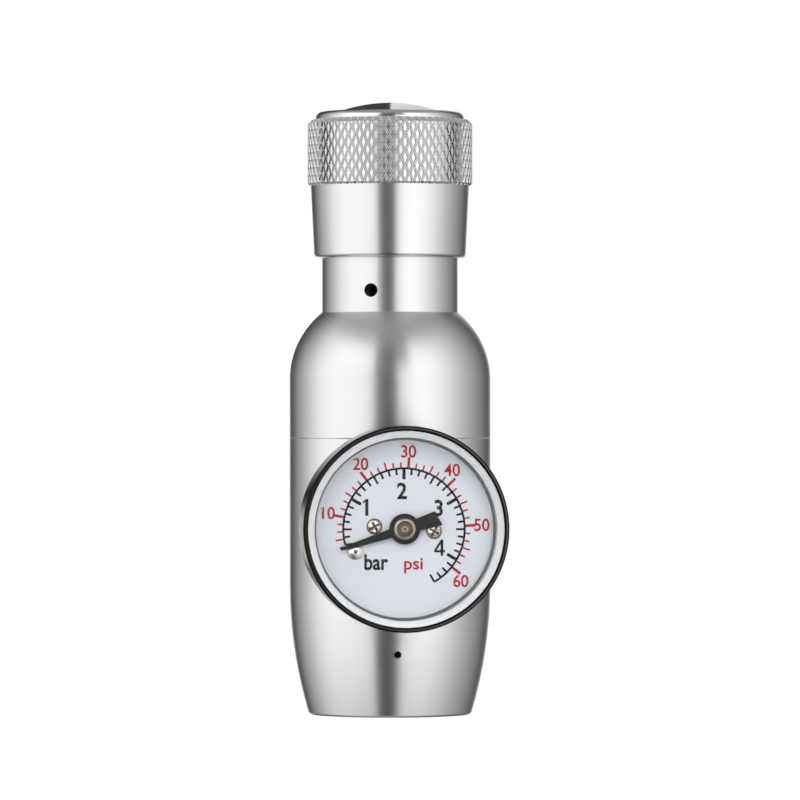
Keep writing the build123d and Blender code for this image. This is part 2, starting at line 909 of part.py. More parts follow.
with BuildPart() as gauge_dial:
    with BuildSketch(gauge_plane(dial_back)):
        Circle(dial_d / 2)
        Circle(dial_hole_d / 2, mode=Mode.SUBTRACT)
        with Locations(*pillar_places):
            Circle(dial_screw_d / 2, mode=Mode.SUBTRACT)
        with Locations((rest_pin_x, rest_pin_y)):
            Circle(rest_post_d / 2, mode=Mode.SUBTRACT)
    extrude(amount=dial_thickness)
gauge_dial.part.label = "gauge_dial"
export_step(gauge_dial.part, "parts/gauge_dial.step")

with BuildPart() as pointer_rest_pin:
    with BuildSketch(gauge_plane(dial_back, rest_pin_x, rest_pin_y)):
        Circle(rest_post_d / 2)
    extrude(amount=dial_thickness + rest_post_height)
    with BuildSketch(gauge_plane(dial_face, rest_pin_x, rest_pin_y)):
        Circle(rest_pin_head_d / 2)
    extrude(amount=rest_pin_head_height)
    chamfer(
        edges().filter_by(GeomType.CIRCLE).sort_by(Edge.radius)[-1:].sort_by(Axis.Y)[:1],
        rest_pin_chamfer,
    )
pointer_rest_pin.part.label = "pointer_rest_pin"
export_step(pointer_rest_pin.part, "parts/pointer_rest_pin.step")


def screw(face, head_d, head_height, shank_d, length):
    """Cheese-headed screw whose head stands on a face plane, with its shank behind it."""
    with BuildPart() as made:
        with BuildSketch(face):
            Circle(head_d / 2)
        extrude(amount=head_height)
        with BuildSketch(face):
            Circle(shank_d / 2)
        extrude(amount=-length)
    return made.part


dial_screws = Compound(
    label="dial_screws",
    children=[
        screw(
            gauge_plane(dial_face, x, y),
            dial_screw_head_d,
            dial_screw_head_height,
            dial_screw_d,
            dial_screw_length,
        )
        for x, y in pillar_places
    ],
)
export_step(dial_screws, "parts/dial_screws.step")

case_back_screws = Compound(
    label="case_back_screws",
    children=[
        screw(
            Plane(origin=(x, -case_back, gauge_height), z_dir=(0, 1, 0)),
            case_screw_head_d,
            case_screw_head_height,
            case_screw_d,
            case_screw_length,
        )
        for x in (-ear_spacing / 2, ear_spacing / 2)
    ],
)
export_step(case_back_screws, "parts/case_back_screws.step")

# Gauge movement

with BuildPart() as bourdon_tube:
    extrude(tube_band(tube_back, 0, tube_sweep), amount=tube_width)
    chamfer(
        edges().filter_by(GeomType.CIRCLE).filter_by(lambda edge: edge.length > tube_radius),
        tube_edge,
    )
    extrude(
        tube_band(tube_back + tube_wall, tube_wall, tube_sweep),
        amount=tube_width - 2 * tube_wall,
        mode=Mode.SUBTRACT,
    )
bourdon_tube.part.label = "bourdon_tube"
export_step(bourdon_tube.part, "parts/bourdon_tube.step")

tube_end_angle = tube_root_angle - tube_sweep
with BuildPart() as tube_end_cap:
    with BuildSketch(gauge_plane(tube_back)):
        with BuildLine():
            outer = CenterArc(
                (0, 0), tube_radius + end_cap_width / 2, tube_end_angle, -end_cap_sweep
            )
            inner = CenterArc(
                (0, 0), tube_radius - end_cap_width / 2, tube_end_angle, -end_cap_sweep
            )
            Line(outer @ 0, inner @ 0)
            Line(outer @ 1, inner @ 1)
        make_face()
    extrude(amount=tube_width)
    with BuildSketch(gauge_plane(tube_front)):
        lug_root = Vector(tube_radius - end_cap_width / 2, 0).rotate(
            Axis.Z, tube_end_angle - end_cap_sweep / 2
        )
        with Locations(lug_root, (link_end_x, link_end_y)):
            Circle(lug_width / 2)
        make_hull()
        with Locations((link_end_x, link_end_y)):
            Circle(link_pin_d / 2, mode=Mode.SUBTRACT)
    extrude(amount=-lug_thickness)
tube_end_cap.part.label = "tube_end_cap"
export_step(tube_end_cap.part, "parts/tube_end_cap.step")

with BuildPart() as movement_back_plate:
    add(movement_plate(back_plate_back, plate_thickness))
    with Locations(gauge_plane(pillar_back)):
        with Locations(*movement_screw_places):
            Hole(movement_screw_d / 2, plate_thickness)
movement_back_plate.part.label = "movement_back_plate"
export_step(movement_back_plate.part, "parts/movement_back_plate.step")

with BuildPart() as movement_front_plate:
    add(movement_plate(front_plate_back, front_plate_thickness))
    with Locations(gauge_plane(dial_back)):
        with Locations(*pillar_places):
            Hole(dial_screw_d / 2, front_plate_thickness)
movement_front_plate.part.label = "movement_front_plate"
export_step(movement_front_plate.part, "parts/movement_front_plate.step")


def pillar(x, y):
    """Spacer between the movement plates, tapped for a dial screw."""
    with BuildPart() as made:
        with BuildSketch(gauge_plane(pillar_back, x, y)):
            Circle(pillar_d / 2)
        extrude(amount=pillar_length)
        with Locations(gauge_plane(front_plate_back, x, y)):
            Hole(dial_screw_d / 2, dial_screw_length - dial_thickness - front_plate_thickness)
    return made.part


movement_pillars = Compound(
    label="movement_pillars", children=[pillar(x, y) for x, y in pillar_places]
)
export_step(movement_pillars, "parts/movement_pillars.step")

movement_screws = Compound(
    label="movement_screws",
    children=[
        screw(
            gauge_plane(pillar_back, x, y),
            movement_screw_head_d,
            movement_screw_head_height,
            movement_screw_d,
            movement_screw_length,
        )
        for x, y in movement_screw_places
    ],
)
export_step(movement_screws, "parts/movement_screws.step")

with BuildPart() as sector_gear:
    root_radius = sector_radius - tooth_root_depth
    window_outer = root_radius - sector_rim
    window_inner = sector_hub_d / 2 + arm_width
    fan_start = 90 + tooth_step * teeth_past_mesh
    fan_sweep = -tooth_step * sector_teeth
    with BuildSketch(gauge_plane(sector_back, y=sector_y)):
        with BuildLine():
            fan_edge = CenterArc((0, 0), root_radius, fan_start, fan_sweep)
            Polyline(fan_edge @ 1, (0, 0), fan_edge @ 0)
        make_face()
        with BuildLine():
            far = CenterArc(
                (0, 0),
                window_outer,
                fan_start - sector_window_inset / 2,
                fan_sweep + sector_window_inset,
            )
            near = CenterArc(
                (0, 0),
                window_inner,
                fan_start - sector_window_inset,
                fan_sweep + 2 * sector_window_inset,
            )
            Line(far @ 0, near @ 0)
            Line(far @ 1, near @ 1)
        make_face(mode=Mode.SUBTRACT)
        with PolarLocations(
            0,
            sector_teeth,
            start_angle=tooth_step * (teeth_past_mesh - 0.5),
            angular_range=-tooth_step * sector_teeth,
        ):
            Polygon(
                *tooth_points(sector_radius, tooth_root_depth + layer_gap, tooth_module, tooth_width),
                align=None,
            )
        Circle(sector_hub_d / 2)
        with Locations(Vector(tail_length / 2, 0).rotate(Axis.Z, tail_angle)):
            SlotCenterToCenter(tail_length, arm_width, rotation=tail_angle)
        Circle(arbor_d / 2, mode=Mode.SUBTRACT)
        with Locations(Vector(tail_length, 0).rotate(Axis.Z, tail_angle)):
            Circle(link_pin_d / 2 + pivot_fit, mode=Mode.SUBTRACT)
    extrude(amount=sector_thickness)
sector_gear.part.label = "sector_gear"
export_step(sector_gear.part, "parts/sector_gear.step")

with BuildPart() as sector_arbor:
    with BuildSketch(gauge_plane(back_plate_back, y=sector_y)):
        Circle(arbor_d / 2)
    extrude(amount=dial_back - layer_gap - back_plate_back)
sector_arbor.part.label = "sector_arbor"
export_step(sector_arbor.part, "parts/sector_arbor.step")

with BuildPart() as link:
    with BuildSketch(gauge_plane(link_back)):
        run = Vector(link_end_x - tail_x, link_end_y - tail_y)
        with Locations((tail_x + run.X / 2, tail_y + run.Y / 2)):
            SlotCenterToCenter(run.length, link_width, rotation=degrees(atan2(run.Y, run.X)))
        with Locations((tail_x, tail_y), (link_end_x, link_end_y)):
            Circle(link_pin_d / 2, mode=Mode.SUBTRACT)
    extrude(amount=link_thickness)
link.part.label = "link"
export_step(link.part, "parts/link.step")

with BuildPart() as link_pin:
    with BuildSketch(gauge_plane(link_back, tail_x, tail_y)):
        Circle(link_pin_d / 2)
    extrude(amount=sector_front - link_back)
link_pin.part.label = "link_pin"
export_step(link_pin.part, "parts/link_pin.step")

with BuildPart() as pinion_arbor:
    with BuildSketch(gauge_plane(back_plate_back)):
        Circle(arbor_d / 2)
    extrude(amount=pointer_front + hub_cap_height / 2 - back_plate_back)
    with BuildSketch(gauge_plane(sector_back - layer_gap)):
        Circle(pinion_radius - tooth_root_depth)
        with PolarLocations(0, pinion_teeth, start_angle=180):
            Polygon(
                *tooth_points(pinion_radius, tooth_root_depth + layer_gap, tooth_module, tooth_width),
                align=None,
            )
    extrude(amount=sector_thickness + 2 * layer_gap)
pinion_arbor.part.label = "pinion_arbor"
export_step(pinion_arbor.part, "parts/pinion_arbor.step")

hairspring_back = pillar_back + layer_gap * 2
spiral_end = hairspring_start + hairspring_turns * hairspring_pitch
with BuildPart() as hairspring:
    with BuildSketch(gauge_plane(hairspring_back)):
        with BuildLine() as spiral:
            for half_turn in range(2 * hairspring_turns):
                odd = half_turn % 2
                CenterArc(
                    (odd * hairspring_pitch / 2, 0),
                    hairspring_start + half_turn * hairspring_pitch / 2,
                    odd * 180,
                    180,
                )
        trace(spiral.wire(), hairspring_strip)
    extrude(amount=hairspring_height)
hairspring.part.label = "hairspring"
export_step(hairspring.part, "parts/hairspring.step")

with BuildPart() as hairspring_stud:
    with BuildSketch(gauge_plane(pillar_back, spiral_end + stud_size / 2 - hairspring_strip)):
        Rectangle(stud_size, stud_size)
    extrude(amount=2 * layer_gap + hairspring_height)
    add(hairspring.part, mode=Mode.SUBTRACT)
hairspring_stud.part.label = "hairspring_stud"
export_step(hairspring_stud.part, "parts/hairspring_stud.step")

with BuildPart() as hairspring_collet:
    with BuildSketch(gauge_plane(hairspring_back)):
        Circle(hairspring_start - pin_fit - hairspring_strip)
        Circle(arbor_d / 2, mode=Mode.SUBTRACT)
    extrude(amount=hairspring_height)
hairspring_collet.part.label = "hairspring_collet"
export_step(hairspring_collet.part, "parts/hairspring_collet.step")

# Pointer

turn = radians(pointer_rest_angle)
pointer_plane = Plane(
    origin=(0, -pointer_back, gauge_height), x_dir=(cos(turn), 0, -sin(turn)), z_dir=(0, -1, 0)
)
with BuildPart() as pointer:
    with BuildSketch(pointer_plane):
        with BuildLine():
            tip = ThreePointArc(
                (-pointer_tip_width / 2, pointer_length - pointer_tip_width / 2),
                (0, pointer_length),
                (pointer_tip_width / 2, pointer_length - pointer_tip_width / 2),
            )
            Polyline(
                tip @ 1,
                (pointer_waist_width / 2, pointer_waist_radius),
                (pointer_root_width / 2, 0),
                (pointer_tail_width / 2, -pointer_tail_length),
                (-pointer_tail_width / 2, -pointer_tail_length - pointer_tail_slant),
                (-pointer_root_width / 2, 0),
                (-pointer_waist_width / 2, pointer_waist_radius),
                tip @ 0,
            )
        make_face()
        Circle(pointer_disc_d / 2)
        Circle(hub_boss_d / 2, mode=Mode.SUBTRACT)
    extrude(amount=pointer_thickness)
pointer.part.label = "pointer"
export_step(pointer.part, "parts/pointer.step")

with BuildPart() as pointer_hub:
    with BuildSketch(gauge_plane(pointer_back - hub_below_pointer)):
        Circle(hub_boss_d / 2)
    extrude(amount=pointer_thickness + hub_below_pointer)
    with BuildSketch(gauge_plane(pointer_front)):
        Circle(hub_cap_d / 2)
    extrude(amount=hub_cap_height)
    with Locations(back_plane(hub_below_pointer - pointer_back)):
        Hole(arbor_d / 2, pointer_thickness + hub_below_pointer + hub_cap_height / 2)
pointer_hub.part.label = "pointer_hub"
export_step(pointer_hub.part, "parts/pointer_hub.step")
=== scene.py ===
# %% [markdown]
# # A miniature pressure regulator
# The object is a small regulator for a screw-in gas cartridge: a turned aluminium body, a knob
# with a diamond knurl on top, and a round gauge on its front. The CAD model gives the exact
# shapes. This script dresses them: it adds what only the eye needs, such as the knurl, the
# printed dial and the finish of every surface. Everything is in metres and in the CAD's frame.

# %% Load the frame
from math import cos, pi, radians, sin, sqrt

import bmesh
import bpy
from mathutils import Matrix, Vector


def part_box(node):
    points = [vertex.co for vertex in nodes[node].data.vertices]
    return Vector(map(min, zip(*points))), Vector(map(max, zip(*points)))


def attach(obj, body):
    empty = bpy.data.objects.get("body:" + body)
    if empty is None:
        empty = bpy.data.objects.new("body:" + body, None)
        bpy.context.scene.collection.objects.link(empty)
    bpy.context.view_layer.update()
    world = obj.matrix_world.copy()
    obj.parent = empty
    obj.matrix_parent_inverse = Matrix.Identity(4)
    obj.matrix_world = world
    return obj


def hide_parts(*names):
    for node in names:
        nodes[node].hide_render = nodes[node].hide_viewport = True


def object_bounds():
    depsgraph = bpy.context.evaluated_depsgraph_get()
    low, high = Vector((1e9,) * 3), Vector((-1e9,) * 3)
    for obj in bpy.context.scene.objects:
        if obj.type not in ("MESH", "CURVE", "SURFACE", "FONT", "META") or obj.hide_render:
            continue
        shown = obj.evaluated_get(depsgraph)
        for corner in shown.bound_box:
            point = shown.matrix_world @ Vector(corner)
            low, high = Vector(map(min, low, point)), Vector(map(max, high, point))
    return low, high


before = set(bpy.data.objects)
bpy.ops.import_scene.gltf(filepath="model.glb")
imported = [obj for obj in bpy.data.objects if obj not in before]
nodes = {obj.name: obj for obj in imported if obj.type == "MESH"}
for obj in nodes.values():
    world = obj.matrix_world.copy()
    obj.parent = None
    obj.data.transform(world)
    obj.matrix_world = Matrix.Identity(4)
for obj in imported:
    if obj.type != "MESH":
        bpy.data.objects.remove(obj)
cad_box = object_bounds()
mm = 0.001
print("CAD nodes:", len(nodes))
print("CAD box in mm:", [[round(v / mm, 2) for v in corner] for corner in cad_box])

# %% [markdown]
# ## Camera
# The picture was taken from far away with a long lens, level with the upper body, so upright
# edges stay parallel. The gauge points a few degrees to the right of the camera, so the camera
# stands a few degrees to the left of the gauge's axis.

# %% Camera
camera_turn = radians(-4.8)
camera_height = 43.8 * mm
camera_distance = 845 * mm
camera_slide = 1.40 * mm

to_camera = Vector((sin(camera_turn), -cos(camera_turn), 0))
camera_right = Vector((cos(camera_turn), sin(camera_turn), 0))

camera_data = bpy.data.cameras.new("camera")
camera_data.sensor_width = 36
camera_data.lens = 272.25
camera_data.clip_end = 20
camera = bpy.data.objects.new("camera", camera_data)
camera.location = to_camera * camera_distance + camera_right * camera_slide
camera.location.z = camera_height
camera.rotation_euler = (pi / 2, 0, camera_turn)
bpy.context.scene.collection.objects.link(camera)
bpy.context.scene.camera = camera
bpy.context.scene.view_settings.view_transform = "Standard"
print("camera at", [round(v, 3) for v in camera.location])

# %% [markdown]
# ## Helpers for materials
# A finish is a small network of nodes. One helper makes a node and fills its sockets, so that
# each finish below reads as a short list: where the pattern lies, what it does to the colour,
# the roughness and the relief.

# %% Node helpers
def fill(made, inputs):
    """Fills a node's inputs, each with a value or with another node's socket."""
    for name, value in inputs.items():
        if isinstance(value, bpy.types.NodeSocket):
            made.id_data.links.new(value, made.inputs[name])
        else:
            made.inputs[name].default_value = value


def look(shader, **inputs):
    """Fills a shader's inputs, with low lines for the spaces in their names."""
    fill(shader, {name.replace("_", " "): value for name, value in inputs.items()})


def node(tree, kind, inputs=None, **settings):
    """Adds a node, sets its options and fills its inputs."""
    made = tree.nodes.new(kind)
    for name, value in settings.items():
        setattr(made, name, value)
    fill(made, inputs or {})
    return made


def mixed(tree, share, first, second):
    """Mixes two colours, each a socket or a plain colour, and returns the result's socket."""
    made = node(tree, "ShaderNodeMix", {0: share, 6: first, 7: second}, data_type="RGBA")
    return made.outputs[2]


def maths(tree, operation, *values):
    """One step of arithmetic on sockets and numbers, returned as the result's socket."""
    return node(tree, "ShaderNodeMath", dict(enumerate(values)), operation=operation).outputs[0]


def ranged(tree, value, low, high, from_low=0.0, from_high=1.0, **settings):
    """Maps a socket's value from one range to another."""
    span = {"From Min": from_low, "From Max": from_high, "To Min": low, "To Max": high}
    return node(tree, "ShaderNodeMapRange", {"Value": value, **span}, **settings).outputs[0]


def blend_stops(ramp, stops):
    """Gives a colour ramp its stops, as pairs of place and grey level or colour."""
    elements = ramp.color_ramp.elements
    while len(elements) > 1:
        elements.remove(elements[-1])
    for index, (place, level) in enumerate(stops):
        stop = elements[0] if index == 0 else elements.new(place)
        stop.position = place
        colour = level if isinstance(level, tuple) else (level, level, level)
        stop.color = (*colour, 1)


def new_finish(name):
    """An empty material with a Principled shader, returned with its tree and that shader."""
    finish = bpy.data.materials.new(name)
    finish.use_nodes = True
    tree = finish.node_tree
    shader = tree.nodes["Principled BSDF"]
    return finish, tree, shader


def dress(finish, *names):
    """Gives CAD nodes a finish."""
    for name in names:
        nodes[name].data.materials.clear()
        nodes[name].data.materials.append(finish)


# %% [markdown]
# ## Studio walls
# Bright metal shows hardly anything of its own: what we see on it is the room. The photograph
# shows a narrow dark gap in the middle of every turned surface, where the dark camera side is
# mirrored, bright sheets on both sides of it, and a slow fall to dark grey at the edges. So the
# room is painted on the world around the object, as grey levels by compass direction. Zero is
# the direction of the camera, and the levels were set by comparing rows of the two pictures.

# %% Studio walls
room = bpy.data.worlds.new("studio")
room.use_nodes = True
bpy.context.scene.world = room
tree = room.node_tree
tree.nodes.clear()
direction = node(tree, "ShaderNodeTexCoord").outputs["Generated"]
turned = node(
    tree,
    "ShaderNodeMapping",
    {"Vector": direction, "Rotation": (0, 0, -camera_turn)},
    vector_type="POINT",
)
split = node(tree, "ShaderNodeSeparateXYZ", {"Vector": turned.outputs["Vector"]})
toward = maths(tree, "MULTIPLY", split.outputs["Y"], -1.0)
bearing = maths(tree, "ARCTAN2", split.outputs["X"], toward)
elevation = maths(tree, "ARCSINE", split.outputs["Z"])
compass = ranged(tree, bearing, 0.0, 1.0, -pi, pi)
wall_levels = (
    (-180, 0.05), (-158, 0.06), (-146, 0.11), (-114, 0.52), (-91, 0.92), (-73, 1.10),
    (-42, 1.10), (-27, 1.04), (-20, 0.95), (-15, 0.26), (-9, 0.15), (1, 0.145),
    (6.5, 0.22), (10, 1.0), (20, 1.16), (35, 1.21), (50, 1.12), (65, 0.94),
    (92, 0.55), (114, 0.34), (148, 0.085), (158, 0.11), (170, 0.55), (180, 0.75),
)
walls = node(tree, "ShaderNodeValToRGB", {"Fac": compass})
wall_gain = 1.25
blend_stops(walls, [((angle + 180) / 360, level / wall_gain) for angle, level in wall_levels])
print("studio walls:", len(wall_levels), "levels")

# %% [markdown]
# ## What stands in the studio
# The walls alone would be the same from floor to ceiling. The rounded shoulder, the lip and the
# tapered foot mirror what is above and below, so soft patches are laid over the walls, one over
# the other: a lamp high on the left, a screen over the camera, the tripod under it, the floor, a
# pale bench far behind, the ceiling, and the white paper that only the camera sees.

# %% Studio patches
def eased(value, start, end, most=1.0):
    """Goes smoothly from 0 to a share while an angle goes from a start to an end, in degrees."""
    span = (0.0, most, radians(start), radians(end))
    return ranged(tree, value, *span, interpolation_type="SMOOTHSTEP")


def aside(middle):
    """How far the bearing is to either side of a middle, given in degrees."""
    return maths(tree, "ABSOLUTE", maths(tree, "SUBTRACT", bearing, radians(middle)))


upper = eased(elevation, 10, 30)
lower = eased(elevation, -3, -12)
sunk = eased(elevation, 1.5, -0.5)
seen = node(tree, "ShaderNodeLightPath")
paper_white = 1 / wall_gain
patches = (
    (maths(tree, "MULTIPLY", eased(aside(-48), 34, 12, 0.9), upper), (1, 1, 1)),
    (maths(tree, "MULTIPLY", eased(aside(13), 17, 6, 0.8), upper), (0.08, 0.08, 0.08)),
    (maths(tree, "MULTIPLY", eased(aside(-3), 19, 11, 0.75), lower), (0.02, 0.02, 0.02)),
    (eased(elevation, -8, -44, 0.62), (0.03, 0.03, 0.03)),
    (maths(tree, "MULTIPLY", eased(bearing, -162, -168), sunk), (0.80, 0.78, 0.75)),
    (eased(elevation, 38, 57), (0.24, 0.24, 0.245)),
    (seen.outputs["Is Camera Ray"], (paper_white, paper_white, paper_white)),
)
backdrop = walls.outputs["Color"]
for share, colour in patches:
    backdrop = mixed(tree, share, backdrop, (*colour, 1))
glow = node(tree, "ShaderNodeBackground", {"Color": backdrop, "Strength": wall_gain})
node(tree, "ShaderNodeOutputWorld", {"Surface": glow.outputs[0]})
print("studio patches:", len(patches))

# %% [markdown]
# ## Floor and lamp
# The object stands on plain white. The floor is a wide disc that only the camera sees, with a
# little light of its own, so that it is as white as the backdrop and the object still leaves a
# soft contact shadow on it. The metal mirrors the painted room instead of the disc. A small
# black disc under the foot keeps light from leaking in where the object stands. The lamp lights
# what is matt, such as the dial, and isn't mirrored.

# %% Floor
def studio_disc(name, radius, segments, level=0.0):
    """A flat disc of the studio, returned with the tree and the shader of its material."""
    mesh = bpy.data.meshes.new(name)
    shape = bmesh.new()
    place = Matrix.Translation((0, 0, level))
    bmesh.ops.create_circle(shape, cap_ends=True, radius=radius, segments=segments, matrix=place)
    shape.to_mesh(mesh)
    shape.free()
    disc = bpy.data.objects.new(name, mesh)
    bpy.context.scene.collection.objects.link(disc)
    finish, tree, shader = new_finish(name)
    mesh.materials.append(finish)
    return disc, tree, shader


floor_r = 1.2
floor, tree, shader = studio_disc("floor", floor_r, 96)
tree.nodes.clear()
white = node(tree, "ShaderNodeBsdfDiffuse", {"Color": (0.22, 0.22, 0.22, 1)})
lit = node(tree, "ShaderNodeEmission", {"Color": (1, 1, 1, 1), "Strength": 0.9})
both = node(tree, "ShaderNodeAddShader", {0: white.outputs[0], 1: lit.outputs[0]})
open_air = node(tree, "ShaderNodeBsdfTransparent")
seen = node(tree, "ShaderNodeLightPath")
shown = node(
    tree,
    "ShaderNodeMixShader",
    {0: seen.outputs["Is Camera Ray"], 1: open_air.outputs[0], 2: both.outputs[0]},
)
node(tree, "ShaderNodeOutputMaterial", {"Surface": shown.outputs[0]})

shade_r = (cad_box[1].x - cad_box[0].x) / 2 * 0.8
table_shade, tree, shader = studio_disc("table_shade", shade_r, 64, level=-0.05 * mm)
look(shader, Base_Color=(0.01, 0.01, 0.01, 1))
print("floor and shade placed")


# %% Lamp
def softbox(name, place, aim, width, tall, power):
    """A rectangular lamp with a diffusing sheet, which lights matt surfaces but isn't mirrored."""
    lamp = bpy.data.lights.new(name, "AREA")
    lamp.shape = "RECTANGLE"
    lamp.size = width
    lamp.size_y = tall
    lamp.energy = power
    made = bpy.data.objects.new(name, lamp)
    made.location = place
    made.rotation_euler = (Vector(aim) - Vector(place)).to_track_quat("-Z", "Y").to_euler()
    made.visible_glossy = False
    made.visible_camera = False
    bpy.context.scene.collection.objects.link(made)


softbox("front_light", place=(-0.12, -0.86, 0.30), aim=(0, 0, 0.03), width=0.8, tall=0.8, power=5.9)
print("lamp placed")

# %% [markdown]
# ## Finish of the turned aluminium
# The body was turned on a lathe, lightly brushed while it spun, and anodised clear. The tool
# leaves fine lines round the axis, so a reflection stays sharp sideways but is smeared up and
# down. The shader gets that from anisotropy, with a tangent that runs round the axis, and a
# noise that is stretched round the axis gives the lines themselves.

# %% Turned finishes
def axis_tangent(tree, axis, place=None):
    """Direction round a lathe axis, at places counted from it, or from the row's origin."""
    if place is None:
        place = node(tree, "ShaderNodeTexCoord").outputs["Object"]
    around = node(tree, "ShaderNodeVectorMath", {0: axis, 1: place}, operation="CROSS_PRODUCT")
    unit = node(tree, "ShaderNodeVectorMath", {0: around.outputs[0]}, operation="NORMALIZE")
    world = node(
        tree,
        "ShaderNodeVectorTransform",
        {"Vector": unit.outputs[0]},
        vector_type="VECTOR",
        convert_from="OBJECT",
        convert_to="WORLD",
    )
    return world.outputs[0]


def stretched_noise(tree, scale, detail=2.0, rough=0.5):
    """Noise in object space with its own scale along each axis, in cycles per metre."""
    place = node(tree, "ShaderNodeTexCoord").outputs["Object"]
    sized = node(tree, "ShaderNodeMapping", {"Vector": place, "Scale": scale})
    return node(
        tree,
        "ShaderNodeTexNoise",
        {"Vector": sized.outputs[0], "Scale": 1.0, "Detail": detail, "Roughness": rough},
    ).outputs[0]


def turned_aluminium(name, rough, line_depth, grain_depth, tint=(0.90, 0.90, 0.905), smear=0.75):
    """Aluminium turned about Z: lines round the axis and a fine grain."""
    finish, tree, shader = new_finish(name)
    lines = stretched_noise(tree, (60, 60, 9000), detail=3.0, rough=0.65)
    grain = stretched_noise(tree, (2600, 2600, 6500), detail=2.0)
    cloud = stretched_noise(tree, (90, 90, 140), detail=2.0)
    shade = ranged(tree, lines, 0.975, 1.0, 0.3, 0.7)
    relief = node(
        tree, "ShaderNodeBump", {"Height": lines, "Distance": line_depth, "Strength": 1.0}
    )
    speckle = node(
        tree,
        "ShaderNodeBump",
        {"Height": grain, "Distance": grain_depth, "Strength": 1.0, "Normal": relief.outputs[0]},
    )
    look(
        shader,
        Base_Color=mixed(tree, shade, (0, 0, 0, 1), (*tint, 1)),
        Roughness=ranged(tree, cloud, rough * 0.9, rough * 1.1, 0.3, 0.7),
        Normal=speckle.outputs[0],
        Tangent=axis_tangent(tree, (0, 0, 1)),
        Metallic=1.0,
        Anisotropic=smear,
        Anisotropic_Rotation=0.25,
    )
    return finish


body_finish = turned_aluminium("turned_body", 0.30, 0.15e-6, 0.9e-6)
dress(body_finish, "lower_body", "bonnet", "piston")
polish = turned_aluminium("polished_aluminium", 0.07, 0.05e-6, 0.0, smear=0.2)
dress(polish, "knob_cap")
print("turned finish on the body")

# %% [markdown]
# ## Helpers for turned pieces
# A lathe makes a piece by turning a profile round an axis, and so does the spin operator. The
# profile is drawn as a flat outline, its corners are rounded with a bevel of its vertices, as a
# file breaks the edges on the lathe, and the outline is then spun a full turn.

# %% Piece helpers
def finished(shape, name, finish, body="housing", sharp=32):
    """Turns a bmesh into a piece with a finish, smooth up to an angle, that rides on a body."""
    bmesh.ops.remove_doubles(shape, verts=shape.verts, dist=1e-7)
    bmesh.ops.recalc_face_normals(shape, faces=shape.faces)
    mesh = bpy.data.meshes.new(name)
    shape.to_mesh(mesh)
    shape.free()
    mesh.shade_smooth()
    mesh.set_sharp_from_angle(angle=radians(sharp))
    mesh.materials.append(finish)
    made = bpy.data.objects.new(name, mesh)
    bpy.context.scene.collection.objects.link(made)
    level = made.modifiers.new("level_flats", "WEIGHTED_NORMAL")
    level.keep_sharp = True
    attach(made, body)
    print(name, "has", len(mesh.polygons), "faces")
    return made


def moved(shape, matrix):
    """Moves a whole bmesh by a matrix, and returns it."""
    bmesh.ops.transform(shape, matrix=matrix, verts=shape.verts)
    return shape


def extruded(shape, faces, lift):
    """Extrudes faces along Z by a lift, and returns the corners of the new ones."""
    made = bmesh.ops.extrude_face_region(shape, geom=faces)["geom"]
    corners = [v for v in made if isinstance(v, bmesh.types.BMVert)]
    bmesh.ops.translate(shape, verts=corners, vec=(0, 0, lift))
    return corners


def ring(inner, outer, low, high):
    """The outline of a plain ring, or of a disc if the inner radius is zero."""
    return ((inner, low), (outer, low), (outer, high), (inner, high))


def turned_shape(outline, rounds=(), steps=192):
    """Spins an outline, given as (radius, height) in mm, round Z. Rounds: (corner, radius) pairs."""
    shape = bmesh.new()
    corners = [shape.verts.new((r * mm, 0, z * mm)) for r, z in outline]
    shape.faces.new(corners)
    for index, size in rounds:
        bmesh.ops.bevel(
            shape,
            geom=[corners[index]],
            offset=size * mm,
            segments=4,
            profile=0.5,
            affect="VERTICES",
            material=-1,
        )
    bmesh.ops.delete(shape, geom=shape.faces[:], context="FACES_ONLY")
    on_axis = [e for e in shape.edges if all(abs(v.co.x) < 1e-9 for v in e.verts)]
    bmesh.ops.delete(shape, geom=on_axis, context="EDGES")
    bmesh.ops.spin(
        shape,
        geom=shape.verts[:] + shape.edges[:],
        axis=(0, 0, 1),
        cent=(0, 0, 0),
        angle=2 * pi,
        steps=steps,
        use_merge=True,
    )
    return shape


# %% [markdown]
# ## The knurled grip
# The grip is rolled with a pair of helical wheels, which leave raised diamonds, taller than wide.
# Flat, that pattern is a square grid turned by 45 degrees and stretched: each cell is inset to
# raise a pyramid with a small flat top. Cuts trim the sheet, one bend wraps it round the grip,
# and the ends are pressed down to the chamfers, where the rolled pattern fades out. The flanks,
# the flat crests and the worn upper edge shine differently, so each has a finish of its own.

# %% Knurled grip
knob_low, knob_high = (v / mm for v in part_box("adjusting_knob"))
grip_r = knob_high.x
skirt_height = 10.1
lip_height = 1.1
grip_low = knob_low.z + skirt_height
grip_top = knob_high.z - lip_height
knurl_depth = 0.28
knurl_count = 62
knurl_height = 2.13
root_r = grip_r - knurl_depth
knurl_inner_r = 10.05
girth = 2 * pi * grip_r
pitch = girth / knurl_count
insets = ((0.03, 0.0), (0.28, 0.26), (0.03, 0.02))


def bend_round(shape, radius, base):
    """Wraps a flat sheet, x along the girth and z its relief, round the Z axis."""
    for v in shape.verts:
        angle = v.co.x / (radius * mm)
        reach = root_r * mm + v.co.z
        v.co = Vector((reach * sin(angle), -reach * cos(angle), v.co.y + base * mm))


def cut_sheet(shape, place, normal, clear=True):
    """Cuts a bmesh with a plane and drops what lies on the side of its normal."""
    bmesh.ops.bisect_plane(
        shape,
        geom=shape.verts[:] + shape.edges[:] + shape.faces[:],
        dist=1e-8,
        plane_co=place,
        plane_no=normal,
        clear_outer=clear,
    )


